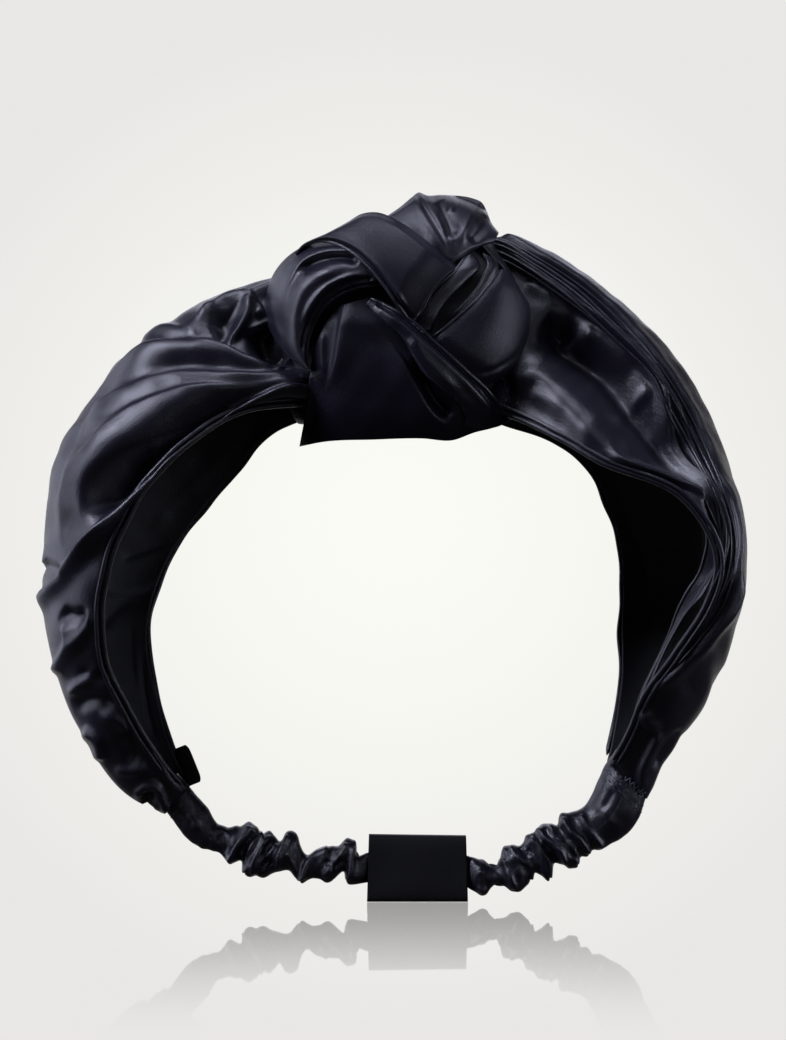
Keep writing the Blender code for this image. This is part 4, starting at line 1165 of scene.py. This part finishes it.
def make_tag():
    """The side tag: a ribbon folded in two, its fold outwards, its ends at the band's edge."""
    low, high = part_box("side_tag")
    foot = np.array([low.x / MM, (low.y + high.y) / MM / 2, low.z / MM])
    head = np.array([high.x / MM, foot[1], high.z / MM])
    lean = np.radians(TAG_LEAN)
    out = np.array([np.cos(lean), 0, np.sin(lean)])
    up = np.array([-np.sin(lean), 0, np.cos(lean)])
    middle = (foot + head) / 2 - 1.5 * out
    length = np.linspace(-TAG_HALF, TAG_HALF, 40)
    fold = [
        (TAG_REACH - TAG_GAP + TAG_GAP * np.cos(turn), TAG_GAP * np.sin(turn))
        for turn in np.radians(np.linspace(-90, 90, 13))
    ]
    profile = np.array([(-TAG_REACH, -TAG_GAP), *fold, (-TAG_REACH, TAG_GAP)])
    swell = 1 - 0.35 * np.abs(length / TAG_HALF) ** 7
    points = (
        middle + profile[:, None, :1] * out * swell[None, :, None]
        + profile[:, None, 1:] * np.array([0, 1.0, 0]) + length[None, :, None] * up
    )
    made = cloth("side_tag", points, RIBBON, thick=0.25, outwards=middle)
    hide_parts("side_tag")
    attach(made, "side_tag")


def stitches(name, path, length, gap, radius, lift):
    """A row of separate stitches along a path: each a short thread, its ends sunk in the cloth."""
    reach = np.concatenate([[0], np.cumsum(np.linalg.norm(np.diff(path, axis=0), axis=1))])
    starts = np.arange(gap, reach[-1] - length, length + gap)
    made = []
    for number, start in enumerate(starts):
        place = np.linspace(start, start + length, 7)
        points = np.stack([np.interp(place, reach, path[:, k]) for k in range(3)], axis=1)
        hump = np.sin(np.linspace(0, np.pi, 7)) * lift
        points = points + hump[:, None] * np.array([0, -1.0, 0])
        made.append(roll(f"{name}_{number}", points, radius, THREAD, sides=6))
    return joined(name, made)


# ---------------------------------------------------------------- studio


def make_camera():
    """A level view from straight in front."""
    data = bpy.data.cameras.new("camera")
    data.sensor_width = 36.0
    data.lens = data.sensor_width * EYE_AWAY / VIEW_HIGH
    camera = bpy.data.objects.new("camera", data)
    camera.location = (0, -EYE_AWAY * MM, EYE_HIGH * MM)
    camera.rotation_euler = (np.pi / 2, 0, 0)
    bpy.context.scene.collection.objects.link(camera)
    bpy.context.scene.camera = camera


# Each softbox's name, place, size and power; all of them point at AIM
AIM = (0, 0, 0.1)
SOFTBOXES = (
    ("left_high", (-0.72, -0.38, 0.78), (0.36, 0.36), 10.5),
    ("left_side", (-0.92, -0.12, 0.22), (0.34, 0.6), 2.6),
    ("left_back", (-0.75, 0.65, 0.25), (0.4, 0.8), 1.8),
    ("right_side", (0.93, 0.0, 0.2), (0.36, 0.5), 3.4),
    ("overhead", (0.0, -0.06, 1.0), (0.6, 0.22), 4.0),
    ("front_top", (0.3, -0.75, 0.85), (0.5, 0.3), 0.9),
    ("right_fill", (0.62, -0.8, 0.0), (0.4, 0.4), 0.5),
    ("behind", (0.0, 0.95, 0.45), (0.6, 0.4), 0.9),
)


def softbox(name, spot, size, power):
    """A rectangular soft light."""
    data = bpy.data.lights.new(name, "AREA")
    data.shape = "RECTANGLE"
    data.size, data.size_y = size
    data.energy = power
    data.color = COOL
    lamp = bpy.data.objects.new(name, data)
    lamp.location = spot
    lamp.rotation_euler = (Vector(AIM) - Vector(spot)).to_track_quat("-Z", "Y").to_euler()
    bpy.context.scene.collection.objects.link(lamp)


FLOOR_RADIUS = 620
FLOOR_HIGH = -0.15  # just under the sleeve


def make_floor():
    """A pale glossy floor: clear, so the surround shows as the floor's own tone, with a mirror gloss that
    is strongest under the headband and fades towards the eye and the rim."""
    rings = np.linspace(0, 1, 24)[:, None]
    turn = np.linspace(0, 2 * np.pi, 96, endpoint=False)[None, :]
    x = FLOOR_RADIUS * rings * np.cos(turn)
    y = FLOOR_RADIUS * rings * np.sin(turn)
    points = np.stack([x, y, np.full(x.shape, FLOOR_HIGH)], axis=-1)
    mesh = grid_mesh("floor", points, round_rows=True)
    made = bpy.data.materials.new("glossy_pale_floor")
    made.use_nodes = True
    tree = made.node_tree
    tree.nodes.clear()
    link = tree.links.new
    clear = node(tree, "ShaderNodeBsdfTransparent")
    mirror = node(tree, "ShaderNodeBsdfGlossy", {"Color": (1, 1, 1, 1), "Roughness": 0.02})
    place = node(tree, "ShaderNodeTexCoord")
    apart = node(tree, "ShaderNodeSeparateXYZ")
    link(place.outputs["Object"], apart.inputs[0])
    fade = {"From Min": -0.30, "From Max": 0.02, "To Max": 0.62}
    near = node(tree, "ShaderNodeMapRange", fade, interpolation_type="SMOOTHSTEP")
    link(apart.outputs["Y"], near.inputs["Value"])
    spread = node(tree, "ShaderNodeVectorMath", operation="LENGTH")
    link(place.outputs["Object"], spread.inputs[0])
    fade = {"From Min": 0.3, "From Max": 0.6, "To Min": 1.0, "To Max": 0.0}
    rim = node(tree, "ShaderNodeMapRange", fade)
    link(spread.outputs["Value"], rim.inputs["Value"])
    low_angle = node(tree, "ShaderNodeLayerWeight", {"Blend": 0.5})
    glance = node(tree, "ShaderNodeMapRange", {"From Min": 0.72, "From Max": 0.86})
    link(low_angle.outputs["Facing"], glance.inputs["Value"])
    spot = node(tree, "ShaderNodeMath", operation="MULTIPLY")
    link(near.outputs["Result"], spot.inputs[0])
    link(rim.outputs["Result"], spot.inputs[1])
    gloss = node(tree, "ShaderNodeMath", operation="MULTIPLY")
    link(spot.outputs[0], gloss.inputs[0])
    link(glance.outputs["Result"], gloss.inputs[1])
    mixed = node(tree, "ShaderNodeMixShader")
    link(gloss.outputs[0], mixed.inputs["Fac"])
    link(clear.outputs[0], mixed.inputs[1])
    link(mirror.outputs[0], mixed.inputs[2])
    out = node(tree, "ShaderNodeOutputMaterial")
    link(mixed.outputs[0], out.inputs["Surface"])
    floor = bpy.data.objects.new("floor", mesh)
    mesh.materials.append(made)
    bpy.context.scene.collection.objects.link(floor)


def make_backdrop():
    """A pale surround, brightest straight behind the headband. The cloth is lit by it only from behind and a
    little from above, so that deep folds stay dark."""
    world = bpy.data.worlds.new("studio")
    bpy.context.scene.world = world
    world.use_nodes = True
    tree = world.node_tree
    tree.nodes.clear()
    link = tree.links.new
    place = node(tree, "ShaderNodeTexCoord")
    apart = node(tree, "ShaderNodeSeparateXYZ")
    link(place.outputs["Generated"], apart.inputs[0])
    seen = ramp(tree, apart.outputs["Y"], (0.9945, (0.815, 0.80, 0.785)), (0.9995, (0.955, 0.96, 0.91)))
    reach = {"From Min": 0.88, "From Max": 0.975, "To Min": 0.035, "To Max": 1.0}
    lit = node(tree, "ShaderNodeMapRange", reach)
    link(apart.outputs["Y"], lit.inputs["Value"])
    path = node(tree, "ShaderNodeLightPath")
    shown = node(tree, "ShaderNodeMath", operation="MAXIMUM")
    link(path.outputs["Is Camera Ray"], shown.inputs[0])
    link(lit.outputs["Result"], shown.inputs[1])
    glow = node(tree, "ShaderNodeBackground")
    link(seen, glow.inputs["Color"])
    link(shown.outputs[0], glow.inputs["Strength"])
    out = node(tree, "ShaderNodeOutputWorld")
    link(glow.outputs[0], out.inputs["Surface"])


def make_studio():
    """The view, the floor, the surround and the soft lights."""
    make_camera()
    make_floor()
    make_backdrop()
    for box in SOFTBOXES:
        softbox(*box)
    bpy.context.scene.view_settings.view_transform = "Standard"


# ---------------------------------------------------------------- assembly

WEAVE = satin_weave_effect()
SATIN_OUT = satin("navy_satin", (0.003, 0.0025, 0.007), (0.010, 0.008, 0.018), (0.25, 0.38), 0.04)
# A darker copy of the navy satin for the knot's flap, lobe and strap: painted shade on them, with the lower
# gloss of cloth seen across its floats.
SATIN_CROSS_SHADED = satin(
    "navy_satin_crosswise_shaded", (0.003, 0.0025, 0.007), (0.009, 0.007, 0.016), (0.34, 0.46), 0.05, 0.3
)
SATIN_IN = satin("navy_satin_lining", (0.002, 0.002, 0.004), (0.006, 0.006, 0.012), (0.44, 0.56), 0.03)
RIBBON = ribbon_weave("black_ribbon", (0.0025, 0.0025, 0.003), (0.009, 0.009, 0.011))
THREAD = spun_thread("navy_thread", (0.03, 0.03, 0.045), (0.07, 0.07, 0.09))
ELASTIC = ribbon_weave("braided_elastic", (0.02, 0.02, 0.02), (0.05, 0.05, 0.05))

LEFT_END, RIGHT_END = 228.0, -43.2  # the loop angles at which the bands end

make_studio()
make_knot()
make_band("left", LEFT_BAND, LEFT_END, LEFT_FOLDS, (), LEFT_LINING_FOLDS, (-1.0, 0, 0), 11)
make_band("right", RIGHT_BAND, RIGHT_END, RIGHT_FOLDS, (0, 1, 2, 3), RIGHT_LINING_FOLDS, (1.0, 0, 0),
          23)
make_right_layers(RIGHT_BAND)
left_points, left_middle = make_casing("left", LEFT_CASING, 31)
right_points, right_middle = make_casing("right", RIGHT_CASING, 37)
make_strip("left", left_middle)
make_strip("right", right_middle)
sew_joins(left_points, right_points)
make_sleeve()
sew_label()
sew_tack()
make_tag()
